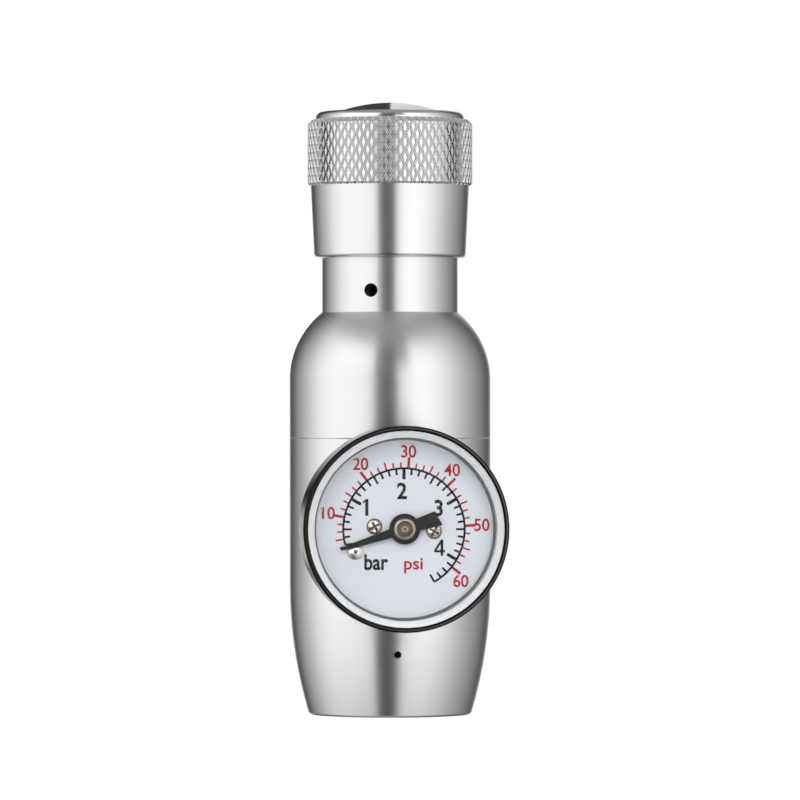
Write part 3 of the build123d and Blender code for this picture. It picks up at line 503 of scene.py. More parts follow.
def trim(shape, keep_x, keep_y):
    """Drops the cells of a flat sheet that lie well outside a half-width and a half-height."""
    far = [
        f
        for f in shape.faces
        if abs(f.calc_center_median().x) > keep_x or abs(f.calc_center_median().y) > keep_y
    ]
    bmesh.ops.delete(shape, geom=far, context="FACES")


grip_height = grip_top - grip_low
chamfer_low = 0.3
chamfer_top = 0.6
low_slope = 0.5
top_slope = 0.8
least_relief = 0.6
chamfer_cuts = 4
spare_cells = 12
cells = knurl_count + spare_cells
shape = bmesh.new()
bmesh.ops.create_grid(shape, x_segments=cells, y_segments=cells, size=cells / 2)
quarter = Matrix.Rotation(pi / 4, 4, "Z")
stretch = Matrix.Diagonal((pitch / sqrt(2) * mm, knurl_height / sqrt(2) * mm, 1, 1))
moved(shape, stretch @ quarter)
trim(shape, (girth / 2 + pitch) * mm, (grip_height / 2 + knurl_height) * mm)
diamonds = shape.faces[:]
for width, rise in insets:
    bmesh.ops.inset_individual(shape, faces=diamonds, thickness=width * mm, depth=rise * mm)
for face in diamonds:
    face.material_index = 1
for side in (-1, 1):
    cut_sheet(shape, (side * girth / 2 * mm, 0, 0), (side, 0, 0))
    cut_sheet(shape, (0, side * grip_height / 2 * mm, 0), (0, side, 0))
for cut in range(1, chamfer_cuts + 1):
    share = cut / chamfer_cuts
    low_cut = chamfer_low * share - grip_height / 2
    high_cut = grip_height / 2 - chamfer_top * share
    for cut_height in (low_cut, high_cut):
        cut_sheet(shape, (0, cut_height * mm, 0), (0, 1, 0), clear=False)
bend_round(shape, grip_r, (grip_low + grip_top) / 2)
bmesh.ops.remove_doubles(shape, verts=shape.verts, dist=0.002 * mm)
for v in shape.verts:
    above = v.co.z / mm - grip_low
    below = grip_top - v.co.z / mm
    drop = max(0, (chamfer_low - above) * low_slope, (chamfer_top - below) * top_slope)
    relief = v.co.xy.length / mm - root_r
    fade = max(least_relief, min(1, above / chamfer_low, below / chamfer_top))
    v.co.xy = v.co.xy.normalized() * (root_r + relief * fade - drop) * mm
for face in shape.faces:
    if grip_top - face.calc_center_median().z / mm < chamfer_top:
        face.material_index = 2
for end in (grip_low, grip_top):
    rim = [e for e in shape.edges if e.is_boundary and abs(e.verts[0].co.z - end * mm) < 1e-7]
    flange = bmesh.ops.extrude_edge_only(shape, edges=rim)["geom"]
    inner = [v for v in flange if isinstance(v, bmesh.types.BMVert)]
    for v in inner:
        v.co.xy = v.co.xy.normalized() * knurl_inner_r * mm
inner_rims = [e for e in shape.edges if e.is_boundary]
bmesh.ops.bridge_loops(shape, edges=inner_rims)
# The flanks take a darker tint than the crests: painted shade in the grooves between the diamonds.
shaded_flank_finish = turned_aluminium(
    "knurl_flank_shaded", 0.19, 0.0, 2.0e-6, tint=(0.69, 0.69, 0.70), smear=0.0
)
crest_finish = turned_aluminium(
    "knurl_crest", 0.20, 0.0, 1.0e-6, tint=(0.93, 0.93, 0.93), smear=0.3
)
edge_finish = turned_aluminium("knurl_edge", 0.5, 0.0, 2.0e-6, tint=(0.88, 0.88, 0.89), smear=0.0)
knurl = finished(shape, "knob_knurl", shaded_flank_finish, "knob", sharp=20)
knurl.data.materials.append(crest_finish)
knurl.data.materials.append(edge_finish)

# %% [markdown]
# ## The knob's shell
# The rest of the knob is plain turning: a skirt that widens a little upward, a core for the
# grip, and a polished lip whose rounded edge carries two long highlights. The inside is bored
# out for the neck of the bonnet.

# %% Knob shell
skirt_low_r = 10.55
skirt_top_r = 11.03
neck_clear_r = 9.65
bore_depth = 16.0
web = 2.4
knob_ceiling = knob_low.z + bore_depth
knob_floor = knob_ceiling + web
cap_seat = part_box("knob_cap")[0].z / mm
cap_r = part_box("knob_cap")[1].x / mm
lip_r = 10.35
core_r = knurl_inner_r - 0.05
head_clear_r = cap_r - 2.5
lip_foot = grip_top - 0.25
drive_r = 3.2
shell_outline = (
    (neck_clear_r, knob_low.z),
    (skirt_low_r, knob_low.z),
    (skirt_top_r, grip_low),
    (core_r, grip_low),
    (core_r, grip_top),
    (cap_r, grip_top),
    (cap_r, cap_seat),
    (head_clear_r, cap_seat),
    (head_clear_r, knob_floor),
    (drive_r, knob_floor),
    (drive_r, knob_ceiling),
    (neck_clear_r, knob_ceiling),
)
shell_rounds = ((1, 0.55), (0, 0.1))
shape = turned_shape(shell_outline, shell_rounds)
skirt_finish = turned_aluminium("turned_knob", 0.26, 0.15e-6, 0.8e-6)
shell = finished(shape, "knob_shell", skirt_finish, "knob")
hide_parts("adjusting_knob")

lip_outline = ring(cap_r, lip_r, lip_foot, knob_high.z)
shape = turned_shape(lip_outline, ((2, 0.9), (1, 0.35)))
finished(shape, "knob_lip", polish, "knob")

# %% [markdown]
# ## The gauge's place
# The gauge is built lying on its back, its axis along Z, because that is how the spin operator
# and a lathe turn things. A quarter turn then stands each piece up in front of the body. A few
# helpers keep that in one place, and measure how far a point is from the gauge's axis.

# %% Gauge helpers
case_low, case_high = (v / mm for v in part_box("gauge_case"))
gauge_height = (case_low.z + case_high.z) / 2
gauge_centre = Matrix.Translation((0, 0, gauge_height * mm))
gauge_place = gauge_centre @ Matrix.Rotation(pi / 2, 4, "X")
case_back = -case_high.y
case_front = -case_low.y
case_r = case_high.x
dial_face = -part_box("gauge_dial")[0].y / mm


def on_gauge(shape):
    """Stands a shape that was made lying on its back up in the gauge's place."""
    return moved(shape, gauge_place)


def plain_finish(name, colour, rough, metallic=0.0, **sockets):
    """A finish with the same colour all over, and named shader sockets."""
    finish, tree, shader = new_finish(name)
    look(shader, Base_Color=(*colour, 1), Roughness=rough, Metallic=metallic, **sockets)
    return finish, tree, shader


def gauge_reach(tree):
    """Distance from the gauge's axis, with the vector across it, as two sockets."""
    centred = node(
        tree,
        "ShaderNodeMapping",
        {
            "Vector": node(tree, "ShaderNodeTexCoord").outputs["Object"],
            "Location": (0, 0, -gauge_height * mm),
            "Scale": (1, 0, 1),
        },
    ).outputs[0]
    reach = node(tree, "ShaderNodeVectorMath", {0: centred}, operation="LENGTH")
    return reach.outputs["Value"], centred


def uneven_shine(tree, shader, cycles, low, high, detail=3.0):
    """Varies the roughness between two values by a noise, its scale in cycles per metre."""
    noise = stretched_noise(tree, (cycles, cycles, cycles), detail=detail)
    look(shader, Roughness=ranged(tree, noise, low, high, 0.3, 0.7))


print("gauge axis at", round(gauge_height, 2), "mm, its front at", round(case_front, 2), "mm")

# %% [markdown]
# ## Gauge case
# The case is a drawn cup with black chrome. One thin line of paler metal on the front edge is a
# painted highlight of that edge, so the colour follows the distance from the gauge's axis there.

# %% Gauge case
wall = 0.68
floor_wall = 0.6
bore_r = case_r - wall
case_floor = case_back + floor_wall
stem_hole_r = 5.9
case_outline = (
    (stem_hole_r, case_back),
    (case_r, case_back),
    (case_r, case_front),
    (bore_r, case_front),
    (bore_r, case_floor),
    (stem_hole_r, case_floor),
)
shape = turned_shape(case_outline, ((1, 0.9), (2, 0.15), (3, 0.10)), steps=256)
black_chrome, tree, shader = plain_finish("black_chrome", (0.035, 0.033, 0.03), 0.12, 1.0)
uneven_shine(tree, shader, 700, 0.09, 0.16)
reach, across = gauge_reach(tree)
# The paler metal line on the front edge is a painted highlight.
highlight_line_r = 13.71
highlight_line_width = 0.04
near = highlight_line_width / 3
inside = ranged(tree, reach, 0.0, 1.0, (highlight_line_r - highlight_line_width) * mm, (highlight_line_r - near) * mm)
outside = ranged(tree, reach, 1.0, 0.0, (highlight_line_r + near) * mm, (highlight_line_r + highlight_line_width) * mm)
depth = node(
    tree, "ShaderNodeSeparateXYZ", {"Vector": node(tree, "ShaderNodeTexCoord").outputs["Object"]}
).outputs["Y"]
forward = ranged(tree, depth, 1.0, 0.0, (0.2 - case_front) * mm, (0.4 - case_front) * mm)
painted_highlight_line = maths(tree, "MULTIPLY", maths(tree, "MULTIPLY", inside, outside), forward)
highlight_line_metal = (0.25, 0.225, 0.185, 1)
plating_and_highlight = mixed(tree, painted_highlight_line, (0.024, 0.023, 0.0235, 1), highlight_line_metal)
look(shader, Base_Color=plating_and_highlight, Specular_Tint=(0.30, 0.27, 0.24, 1))
case = finished(on_gauge(shape), "gauge_case_cup", black_chrome)
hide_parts("gauge_case")

# %% [markdown]
# ## Lens
# The lens is moulded clear: a flat window, a shallow step round it, a raised rim and a skirt
# that stands on the dial. The window has a thin coating that hardly mirrors the room, so it is a
# piece of its own with a lower index of refraction. The skirt looks frosted, because light that
# enters the rim is scattered in it. A black ring on the dial inside it is painted shade of the dark
# gap where the skirt stands on the dial.

# %% Lens
def clear_finish(name, index, haze):
    """Clear moulded plastic with faint scuffs."""
    glassy = {"Transmission_Weight": 1.0, "IOR": index}
    finish, tree, shader = plain_finish(name, (0.985, 0.992, 1.0), 0.0, **glassy)
    scuffs = stretched_noise(tree, (900, 900, 900), detail=4.0, rough=0.7)
    look(shader, Roughness=ranged(tree, scuffs, 0.0, haze, 0.62, 0.8))
    return finish


lens_back = case_front - 1.5
lens_fit = 0.01
window_r = bore_r - 1.62
rim_r = bore_r - 0.57
step = 0.35
window_step = 0.12
window_front = case_front - step + window_step
window_outline = ring(0, window_r, lens_back, window_front)
shape = turned_shape(window_outline, ((2, 0.04),), steps=256)
coated = clear_finish("coated_window", 1.15, 0.008)
window = finished(on_gauge(shape), "gauge_lens_window", coated, sharp=40)
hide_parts("gauge_lens")

rim_outline = (
    (window_r + lens_fit, lens_back),
    (bore_r - lens_fit, lens_back),
    (bore_r - lens_fit, case_front - 0.1),
    (bore_r - 0.11, case_front),
    (rim_r, case_front),
    (rim_r - 0.3, case_front - step),
    (window_r + lens_fit, case_front - step),
)
shape = turned_shape(rim_outline, ((4, 0.06), (5, 0.04)), steps=256)
clear = clear_finish("clear_rim", 1.35, 0.02)
finished(on_gauge(shape), "gauge_lens_rim", clear, sharp=40)

# %% Skirt and painted shade ring
skirt_r = bore_r - 0.8
skirt_outline = ring(skirt_r, bore_r - lens_fit, dial_face, lens_back - lens_fit)
shape = turned_shape(skirt_outline, ((3, 0.1),), steps=256)
frosted, tree, shader = plain_finish("frosted_skirt", (0.90, 0.915, 0.93), 0.35)
uneven_shine(tree, shader, 500, 0.28, 0.42)
finished(on_gauge(shape), "lens_skirt", frosted)

# A black ring on the dial inside the skirt: painted shade of the gap at the skirt's foot.
shade_ring_r = bore_r - 0.86
shade_ring_inner_r = bore_r - 1.20
shade_ring_top = dial_face + 0.6
shade_ring_outline = ring(shade_ring_inner_r, shade_ring_r, dial_face, shade_ring_top)
shape = turned_shape(shade_ring_outline, ((2, 0.05), (3, 0.05)), steps=256)
shade_ring_black, tree, shader = plain_finish("shade_ring_black", (0.015, 0.015, 0.017), 0.5)
uneven_shine(tree, shader, 800, 0.4, 0.6)
finished(on_gauge(shape), "skirt_shade_ring", shade_ring_black)

# %% [markdown]
# ## The dial's print
# The scale is printed in two inks: bar in black on the inside of a thin arc, psi in red on its
# outside. Sixty degrees make one bar, and two bar stand straight up. Every mark is a thin slip
# of ink on the enamel, so it is a real shape that stays sharp from near.

# %% Dial print
enamel = (0.66, 0.69, 0.725)
dial_finish, tree, shader = plain_finish("dial_enamel", enamel, 0.35, Specular_IOR_Level=0.2)
uneven_shine(tree, shader, 400, 0.32, 0.40, detail=2.0)
dress(dial_finish, "gauge_dial")
matt = {"Specular_IOR_Level": 0.1}
black_ink = plain_finish("black_ink", (0.008, 0.008, 0.010), 0.5, **matt)[0]
red_ink = plain_finish("red_ink", (0.40, 0.012, 0.026), 0.5, **matt)[0]
ink_height = 0.02
print_x = -0.03
print_y = -0.05
scale_r = 8.27
arc_width = 0.29
degrees_per_bar = 60
degrees_per_psi = 4.137
bar_at_top = 2
to_print = Matrix.Translation((print_x * mm, print_y * mm, 0))


def bar_angle(bar):
    """Angle of a pressure in bar on the dial, clockwise from the top."""
    return (bar - bar_at_top) * degrees_per_bar


def psi_angle(psi):
    """Angle of a pressure in psi on the dial, clockwise from the top."""
    return bar_angle(0) + psi * degrees_per_psi


def add_tick(shape, angle, inner, outer, width):
    """Adds one thin slip of ink that points at the dial's centre."""
    middle = Vector((0, (inner + outer) / 2 * mm, (dial_face + ink_height / 2) * mm))
    size = Matrix.Diagonal((width * mm, (outer - inner) * mm, ink_height * mm, 1))
    turn = Matrix.Rotation(radians(-angle), 4, "Z")
    put = to_print @ turn @ Matrix.Translation(middle) @ size
    bmesh.ops.create_cube(shape, size=1, matrix=put)


def add_arc(shape, start, end, inner, outer):
    """Adds a printed arc, angles clockwise from the top, by spinning a small section."""
    low = dial_face * mm
    corners = ring(inner, outer, 0, ink_height)
    section = [shape.verts.new((0, r * mm, low + h * mm)) for r, h in corners]
    face = shape.faces.new(section)
    turn = Matrix.Rotation(radians(-start), 4, "Z")
    bmesh.ops.transform(shape, matrix=turn, verts=section)
    bmesh.ops.spin(
        shape,
        geom=section + [face] + list(face.edges),
        axis=(0, 0, -1),
        cent=(0, 0, 0),
        angle=radians(end - start),
        steps=int(abs(end - start)),
    )
    moved(shape, to_print)


def mark_size(count, per_figure, sizes):
    """Size of a mark: the first at a figure, the second halfway, and the third elsewhere."""
    if count % per_figure == 0:
        return sizes[0]
    return sizes[1] if count % (per_figure // 2) == 0 else sizes[2]


first_mark = 2
last_mark = 36
bar_steps = 8
psi_steps = 6
psi_mark = 10 / psi_steps
start_angle = bar_angle(first_mark / bar_steps)
end_angle = bar_angle(last_mark / bar_steps)
arc_inner = scale_r - arc_width / 2
arc_outer = scale_r + arc_width / 2
shape = bmesh.new()
add_arc(shape, start_angle, end_angle, arc_inner, arc_outer)
for mark in range(first_mark, last_mark + 1):
    long = mark_size(mark, bar_steps, (1.5, 1.17, 0.88))
    wide = mark_size(mark, bar_steps, (0.44, 0.29, 0.29))
    add_tick(shape, bar_angle(mark / bar_steps), scale_r - long, scale_r, wide)
finished(on_gauge(shape), "bar_scale", black_ink)

shape = bmesh.new()
for mark in range(first_mark, last_mark + 1):
    long = mark_size(mark, psi_steps, (1.4, 1.02, 0.68))
    wide = mark_size(mark, psi_steps, (0.37, 0.23, 0.23))
    add_tick(shape, psi_angle(mark * psi_mark), arc_outer, arc_outer + long, wide)
finished(on_gauge(shape), "psi_scale", red_ink)

# %% [markdown]
# ## Figures and words
# Blender's own font sets the figures and the two units. Each word is made a mesh, raised by the
# ink's height, scaled to the printed height and put at its place, which is read from the
# photograph as a pixel. The printed one has a slanting flag and the printed four is open, so the
# first gets an extra stroke and the second is drawn from three strokes.

# %% Dial numerals
pixels_per_mm = 7.378
hub_pixel = (404.3, 527.7)


def add_flag(shape, tall):
    """Adds the short slanting stroke at the top left of a printed figure one."""
    long, wide, slant = 0.24 * tall, 0.10 * tall, 38
    left = min(v.co.x for v in shape.verts) - 0.045 * tall * mm
    top = max(v.co.y for v in shape.verts) - 0.135 * tall * mm
    size = Matrix.Diagonal((long * mm, wide * mm, ink_height * mm, 1))
    place = Matrix.Translation((left, top, (dial_face + ink_height / 2) * mm))
    turn = Matrix.Rotation(radians(slant), 4, "Z")
    bmesh.ops.create_cube(shape, size=1, matrix=place @ turn @ size)


def stroke(shape, start, end, width):
    """Adds a straight stroke of ink between two points of the dial, in mm."""
    first, last = Vector((*start, 0)), Vector((*end, 0))
    run = last - first
    size = Matrix.Diagonal((run.length * mm, width * mm, ink_height * mm, 1))
    turn = Vector((1, 0, 0)).rotation_difference(run).to_matrix().to_4x4()
    middle = (first + last) / 2 * mm + Vector((0, 0, (dial_face + ink_height / 2) * mm))
    bmesh.ops.create_cube(shape, size=1, matrix=Matrix.Translation(middle) @ turn @ size)


def printed(word, pixel, tall, finish, narrow, weight):
    """A printed word, centred on a pixel of the photograph, with capitals of a height in mm."""
    curve = bpy.data.curves.new("word", "FONT")
    curve.body = word
    curve.size = 1
    curve.offset = weight
    curve.extrude = 0
    curve.resolution_u = 6
    curve.align_x = "CENTER"
    flat = bpy.data.objects.new("word", curve)
    bpy.context.scene.collection.objects.link(flat)
    mesh = bpy.data.meshes.new_from_object(flat)
    bpy.data.objects.remove(flat)
    shape = bmesh.new()
    shape.from_mesh(mesh)
    bpy.data.meshes.remove(mesh)
    bmesh.ops.remove_doubles(shape, verts=shape.verts, dist=1e-5)
    extruded(shape, shape.faces[:], 1)
    low = Vector((min(v.co.x for v in shape.verts), min(v.co.y for v in shape.verts), 0))
    high = Vector((max(v.co.x for v in shape.verts), max(v.co.y for v in shape.verts), 0))
    size = tall / (high.y - low.y)
    centre = (low + high) / 2
    across = (pixel[0] - hub_pixel[0]) / pixels_per_mm
    up = (hub_pixel[1] - pixel[1]) / pixels_per_mm
    place = (
        Matrix.Translation((across * mm, up * mm, dial_face * mm))
        @ Matrix.Diagonal((size * narrow * mm, size * mm, ink_height * mm, 1))
        @ Matrix.Translation(-centre)
    )
    moved(shape, place)
    if word.startswith("1"):
        add_flag(shape, tall)
    name = "print_" + word + ("_red" if finish is red_ink else "_black")
    finished(on_gauge(shape), name, finish)


bold = 0.016
heavy = 0.026
figures = {"1": (366.7, 506.2), "2": (402.0, 489.6), "3": (438.9, 506.9)}
red_figures = {
    "10": (328.2, 511.7),
    "20": (360.4, 462.6),
    "30": (408.8, 450.1),
    "40": (452.5, 468.8),
    "50": (482.5, 523.8),
    "60": (461.3, 580.0),
}
prints = (
    (figures, 2.27, black_ink, 0.92, heavy),
    ({"bar": (376.2, 561.0)}, 2.20, black_ink, 0.83, heavy),
    (red_figures, 1.72, red_ink, 0.93, bold),
    ({"psi": (413.6, 564.6)}, 2.14, red_ink, 1.05, bold),
)
for words, *look_of_words in prints:
    for word, pixel in words.items():
        printed(word, pixel, *look_of_words)

# %% Figure four
four_pixel = (440.0, 546.6)
four_x = (four_pixel[0] - hub_pixel[0]) / pixels_per_mm
four_y = (hub_pixel[1] - four_pixel[1]) / pixels_per_mm
four_half = 1.10
thick = 0.36
stem_x = four_x + 0.30
bar_y = four_y - 0.48
shape = bmesh.new()
stroke(shape, (stem_x, four_y - four_half), (stem_x, four_y + four_half), thick)
stroke(shape, (four_x - 0.74, bar_y), (four_x + 0.72, bar_y), thick * 0.85)
stroke(shape, (four_x - 0.68, bar_y), (stem_x, four_y + four_half - 0.08), thick * 0.8)
finished(on_gauge(shape), "print_4_black", black_ink)

# %% [markdown]
# ## Finishes of the small metal and plastic pieces
# The small pieces are machined, stamped or moulded. Their finishes share one recipe: a slow
# noise varies the colour and the shine a little, as handling and plating do, and a fine noise
# gives the grain that the tool left. Only the colour, the shine and the grain's size differ.

# %% Small finishes
def worked(name, colour, rough, metallic=1.0, grain=2500, depth=0.4e-6, stain=0.9, shine=0.5):
    """A machined or moulded finish: stained colour, uneven shine and a fine grain."""
    finish, tree, shader = plain_finish(name, colour, rough, metallic, Specular_IOR_Level=shine)
    cloud = stretched_noise(tree, (350, 350, 350), detail=4.0, rough=0.6)
    fine = stretched_noise(tree, (grain, grain, grain), detail=2.0)
    darker = tuple(level * stain for level in colour)
    share = ranged(tree, cloud, 0.0, 1.0, 0.35, 0.65)
    relief = node(tree, "ShaderNodeBump", {"Height": fine, "Distance": depth, "Strength": 1.0})
    look(
        shader,
        Base_Color=mixed(tree, share, (*darker, 1), (*colour, 1)),
        Roughness=ranged(tree, fine, rough * 0.75, rough * 1.25, 0.3, 0.7),
        Normal=relief.outputs[0],
    )
    return finish


brass = worked("machined_brass", (0.76, 0.56, 0.27), 0.24)
nickel = worked("dull_nickel", (0.44, 0.39, 0.33), 0.12, grain=2200, depth=90e-6, stain=0.2)
bright_nickel = worked(
    "bright_nickel", (0.74, 0.68, 0.63), 0.24, grain=1800, depth=1.2e-6, stain=0.85
)
steel = worked("machined_steel", (0.58, 0.58, 0.59), 0.26)
spring_steel = worked("spring_steel", (0.36, 0.36, 0.38), 0.30)
bronze = worked("sintered_bronze", (0.50, 0.30, 0.14), 0.55, grain=5000, depth=30e-6, stain=0.5)
seal = worked("seal_plastic", (0.80, 0.79, 0.74), 0.45, metallic=0.0, stain=0.95)
rubber = worked("nitrile_rubber", (0.022, 0.022, 0.023), 0.55, metallic=0.0, depth=3e-6)
dress(
    brass,
    "inlet_insert", "seat_retainer", "gauge_stem", "bourdon_tube", "tube_end_cap",
    "movement_back_plate", "movement_front_plate", "movement_pillars", "hairspring_stud",
    "hairspring_collet", "sector_gear", "link",
)
dress(
    steel,
    "piercing_pin", "valve_poppet", "spring_button", "adjusting_screw", "knob_screw",
    "movement_screws", "sector_arbor", "link_pin", "pinion_arbor",
)
dress(spring_steel, "poppet_spring", "main_spring", "hairspring")
dress(bronze, "inlet_filter")
dress(seal, "cartridge_seal", "valve_seat", "gauge_seal_washer")
dress(rubber, "piston_ring")
print("small finishes on", sum(1 for n in nodes.values() if n.data.materials), "nodes")

# %% [markdown]
# ## Pointer and its hub
# The pointer is stamped from sheet and painted matt black. A turned hub of dull nickel holds it
# on the arbor: a disc with a broken edge, a fine groove, and a centre mark with a speck of brass
# where the arbor was riveted over. Its colour is laid in bands by the distance from the axis: pale
# nickel as painted highlights on the broken edge and the small ring of the centre mark, dark bronze
# as painted shade on the flat disc, and near black as painted shade in the centre hole.

# %% Pointer and hub
pointer_paint = worked(
    "pointer_paint", (0.008, 0.008, 0.009), 0.5, 0.0, grain=3500, depth=2e-6, stain=0.8, shine=0.1
)
dress(pointer_paint, "pointer")
hub_low, hub_high = (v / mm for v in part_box("pointer_hub"))
hub_r = (hub_high.x - hub_low.x) / 2
hub_back = -hub_high.y
hub_front = -hub_low.y
hub_seat = hub_front - 0.4
hub_land = 0.30
hub_sunk = hub_front - 0.07
mark_top = hub_front - 0.02
boss_r = 0.9
rivet_r = 0.12
arbor_front = -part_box("pinion_arbor")[0].y / mm
hole_floor = max(hub_front - 0.34, arbor_front + 0.02)
hub_outline = (
    (0, hub_back),
    (boss_r, hub_back),
    (boss_r, hub_seat),
    (hub_r, hub_seat),
    (hub_r, hub_front - 0.15),
    (hub_r - hub_land + 0.05, hub_front),
    (hub_r - hub_land, hub_front),
    (hub_r - hub_land - 0.04, hub_sunk),
    (0.42, hub_sunk),
    (0.38, mark_top),
    (0.31, mark_top),
    (0.30, hole_floor),
    (0, hole_floor),
)
shape = turned_shape(hub_outline, ((4, 0.04), (5, 0.03)), steps=96)
hub_finish, tree, shader = plain_finish("turned_nickel", (0.50, 0.45, 0.38), 0.22, 1.0)
reach, across = gauge_reach(tree)
bands_r = 1.6
hub_share = ranged(tree, reach, 0.0, 1.0, 0.0, bands_r * mm)
hub_light_colours = node(tree, "ShaderNodeValToRGB", {"Fac": hub_share})
# Bands by distance from the axis: pale ones are painted highlights, dark ones painted shade.
highlight_nickel = (0.44, 0.37, 0.29)
shaded_bronze = (0.038, 0.029, 0.020)
hub_light_bands = (
    (0.0, (0.01, 0.01, 0.01)),
    (0.185, (0.01, 0.008, 0.006)),
    (0.200, highlight_nickel),
    (0.235, highlight_nickel),
    (0.255, shaded_bronze),
    (0.700, shaded_bronze),
    (0.735, highlight_nickel),
    (1.0, highlight_nickel),
)
blend_stops(hub_light_colours, hub_light_bands)
spread = node(tree, "ShaderNodeCombineXYZ", {"X": reach})
fine = node(
    tree,
    "ShaderNodeTexNoise",
    {"Vector": spread.outputs[0], "Scale": 9000.0, "Detail": 3.0},
).outputs[0]
ringed = ranged(tree, fine, 0.12, 0.0, 0.35, 0.65)
look(
    shader,
    Base_Color=mixed(tree, ringed, hub_light_colours.outputs["Color"], (0.02, 0.016, 0.012, 1)),
    Tangent=axis_tangent(tree, (0, 1, 0), across),
    Anisotropic=0.7,
    Anisotropic_Rotation=0.25,
)
hub = finished(on_gauge(shape), "pointer_hub_turned", hub_finish, "pointer_group")
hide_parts("pointer_hub")

shape = bmesh.new()
rivet_place = Matrix.Translation((0, 0, (hole_floor + 0.02) * mm))
bmesh.ops.create_uvsphere(
    shape,
    u_segments=24,
    v_segments=12,
    radius=rivet_r * mm,
    matrix=rivet_place @ Matrix.Diagonal((1, 1, 0.5, 1)),
)
aged_brass = worked("aged_brass", (0.42, 0.24, 0.07), 0.4, stain=0.6)
finished(on_gauge(shape), "arbor_rivet", aged_brass, "pointer_group")

# %% [markdown]
# ## Screws with a cross recess
# The dial and the case back are held by small screws with a cross recess. A disc is raised, its
# rim rounded, four cuts divide the top into a cross, and the cross is pushed in with a taper, as
# the heading tool does it. The recess's faces get a dark second finish, as painted shade in the
# recess.

# %% Screws
def cross_screw(turn, place, head_r, head_height, arm, reach, deep, shank_r, shank):
    """A round-headed screw with a cross recess, its head's seat at a place and facing +Z."""
    shape = bmesh.new()
    bmesh.ops.create_circle(shape, cap_ends=True, radius=head_r * mm, segments=48)
    lifted = extruded(shape, shape.faces[:], head_height * mm)
    rim = [e for e in shape.edges if all(v in lifted for v in e.verts)]
    bmesh.ops.bevel(
        shape,
        geom=rim,
        offset=min(head_height, head_r * 0.4) * 0.9 * mm,
        segments=5,
        profile=0.5,
        affect="EDGES",
        material=-1,
    )
    for size in (arm, reach):
        for side in (-1, 1):
            for normal in (Vector((1, 0, 0)), Vector((0, 1, 0))):
                cut_sheet(shape, normal * side * size * mm, normal, clear=False)
    crown = []
    for face in shape.faces:
        middle = face.calc_center_median().xy / mm
        in_cross = min(abs(middle.x), abs(middle.y)) < arm and middle.length < reach
        if in_cross and face.normal.z > 0.95:
            crown.append(face)
    floor_verts = extruded(shape, crown, -deep * mm)
    bmesh.ops.delete(shape, geom=crown, context="FACES")
    bmesh.ops.scale(shape, verts=floor_verts, vec=(0.72, 0.72, 1))
    # Faces of the recess take the second finish, a painted shade.
    for vert in floor_verts:
        for face in vert.link_faces:
            face.material_index = 1
    post = bmesh.ops.create_circle(shape, cap_ends=True, radius=shank_r * mm, segments=24)["verts"]
    base = [f for f in post[0].link_faces if all(v in post for v in f.verts)]
    extruded(shape, base, -shank * mm)
    x, y, height = place
    put = Matrix.Translation((x * mm, y * mm, height * mm))
    return moved(shape, put @ Matrix.Rotation(radians(turn), 4, "Z"))


def joined(first, second):
    """Adds a second bmesh to the first."""
    spare = bpy.data.meshes.new("spare")
    second.to_mesh(spare)
    second.free()
    first.from_mesh(spare)
    bpy.data.meshes.remove(spare)
    return first


screw_low, screw_high = (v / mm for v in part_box("dial_screws"))
dial_screw = {"head_r": 1.1, "head_height": 0.45, "arm": 0.17, "reach": 0.72, "deep": 0.3}
dial_screw |= {"shank_r": 0.5, "shank": 2.2}
screw_x = screw_high.x - dial_screw["head_r"]
screw_drop = (screw_high.z - screw_low.z) / 2 - dial_screw["head_r"]
screw_mid = (screw_high.z + screw_low.z) / 2 - gauge_height
left = cross_screw(28, (-screw_x, screw_mid + screw_drop, dial_face), **dial_screw)
right = cross_screw(62, (screw_x, screw_mid - screw_drop, dial_face), **dial_screw)
shape = on_gauge(joined(left, right))
dial_pair = finished(shape, "dial_screw_pair", nickel)
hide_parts("dial_screws")
# Dark finish for the cross recesses: painted shade.
recess_painted_shade, tree, shader = plain_finish("recess_painted_shade", (0.05, 0.045, 0.04), 0.3, 1.0)
uneven_shine(tree, shader, 2500, 0.2, 0.45, detail=2.0)
dial_pair.data.materials.append(recess_painted_shade)

back_screw = {"head_r": 1.2, "head_height": 0.8, "arm": 0.2, "reach": 0.8, "deep": 0.4}
back_screw |= {"shank_r": 0.8, "shank": 2.0}
back_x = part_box("case_back_screws")[1].x / mm - back_screw["head_r"]
left = cross_screw(15, (-back_x, 0, -case_back), **back_screw)
right = cross_screw(50, (back_x, 0, -case_back), **back_screw)
facing_back = gauge_centre @ Matrix.Rotation(-pi / 2, 4, "X")
shape = moved(joined(left, right), facing_back)
back_pair = finished(shape, "case_back_screw_pair", steel)
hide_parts("case_back_screws")
back_pair.data.materials.append(recess_painted_shade)

# %% [markdown]
# ## The pointer's rest pin
# At rest the pointer lies against a small post. It stands in a domed nickel disc that is riveted
# to the dial, so the pair is one spun profile: the dome, and the dark post in its middle.

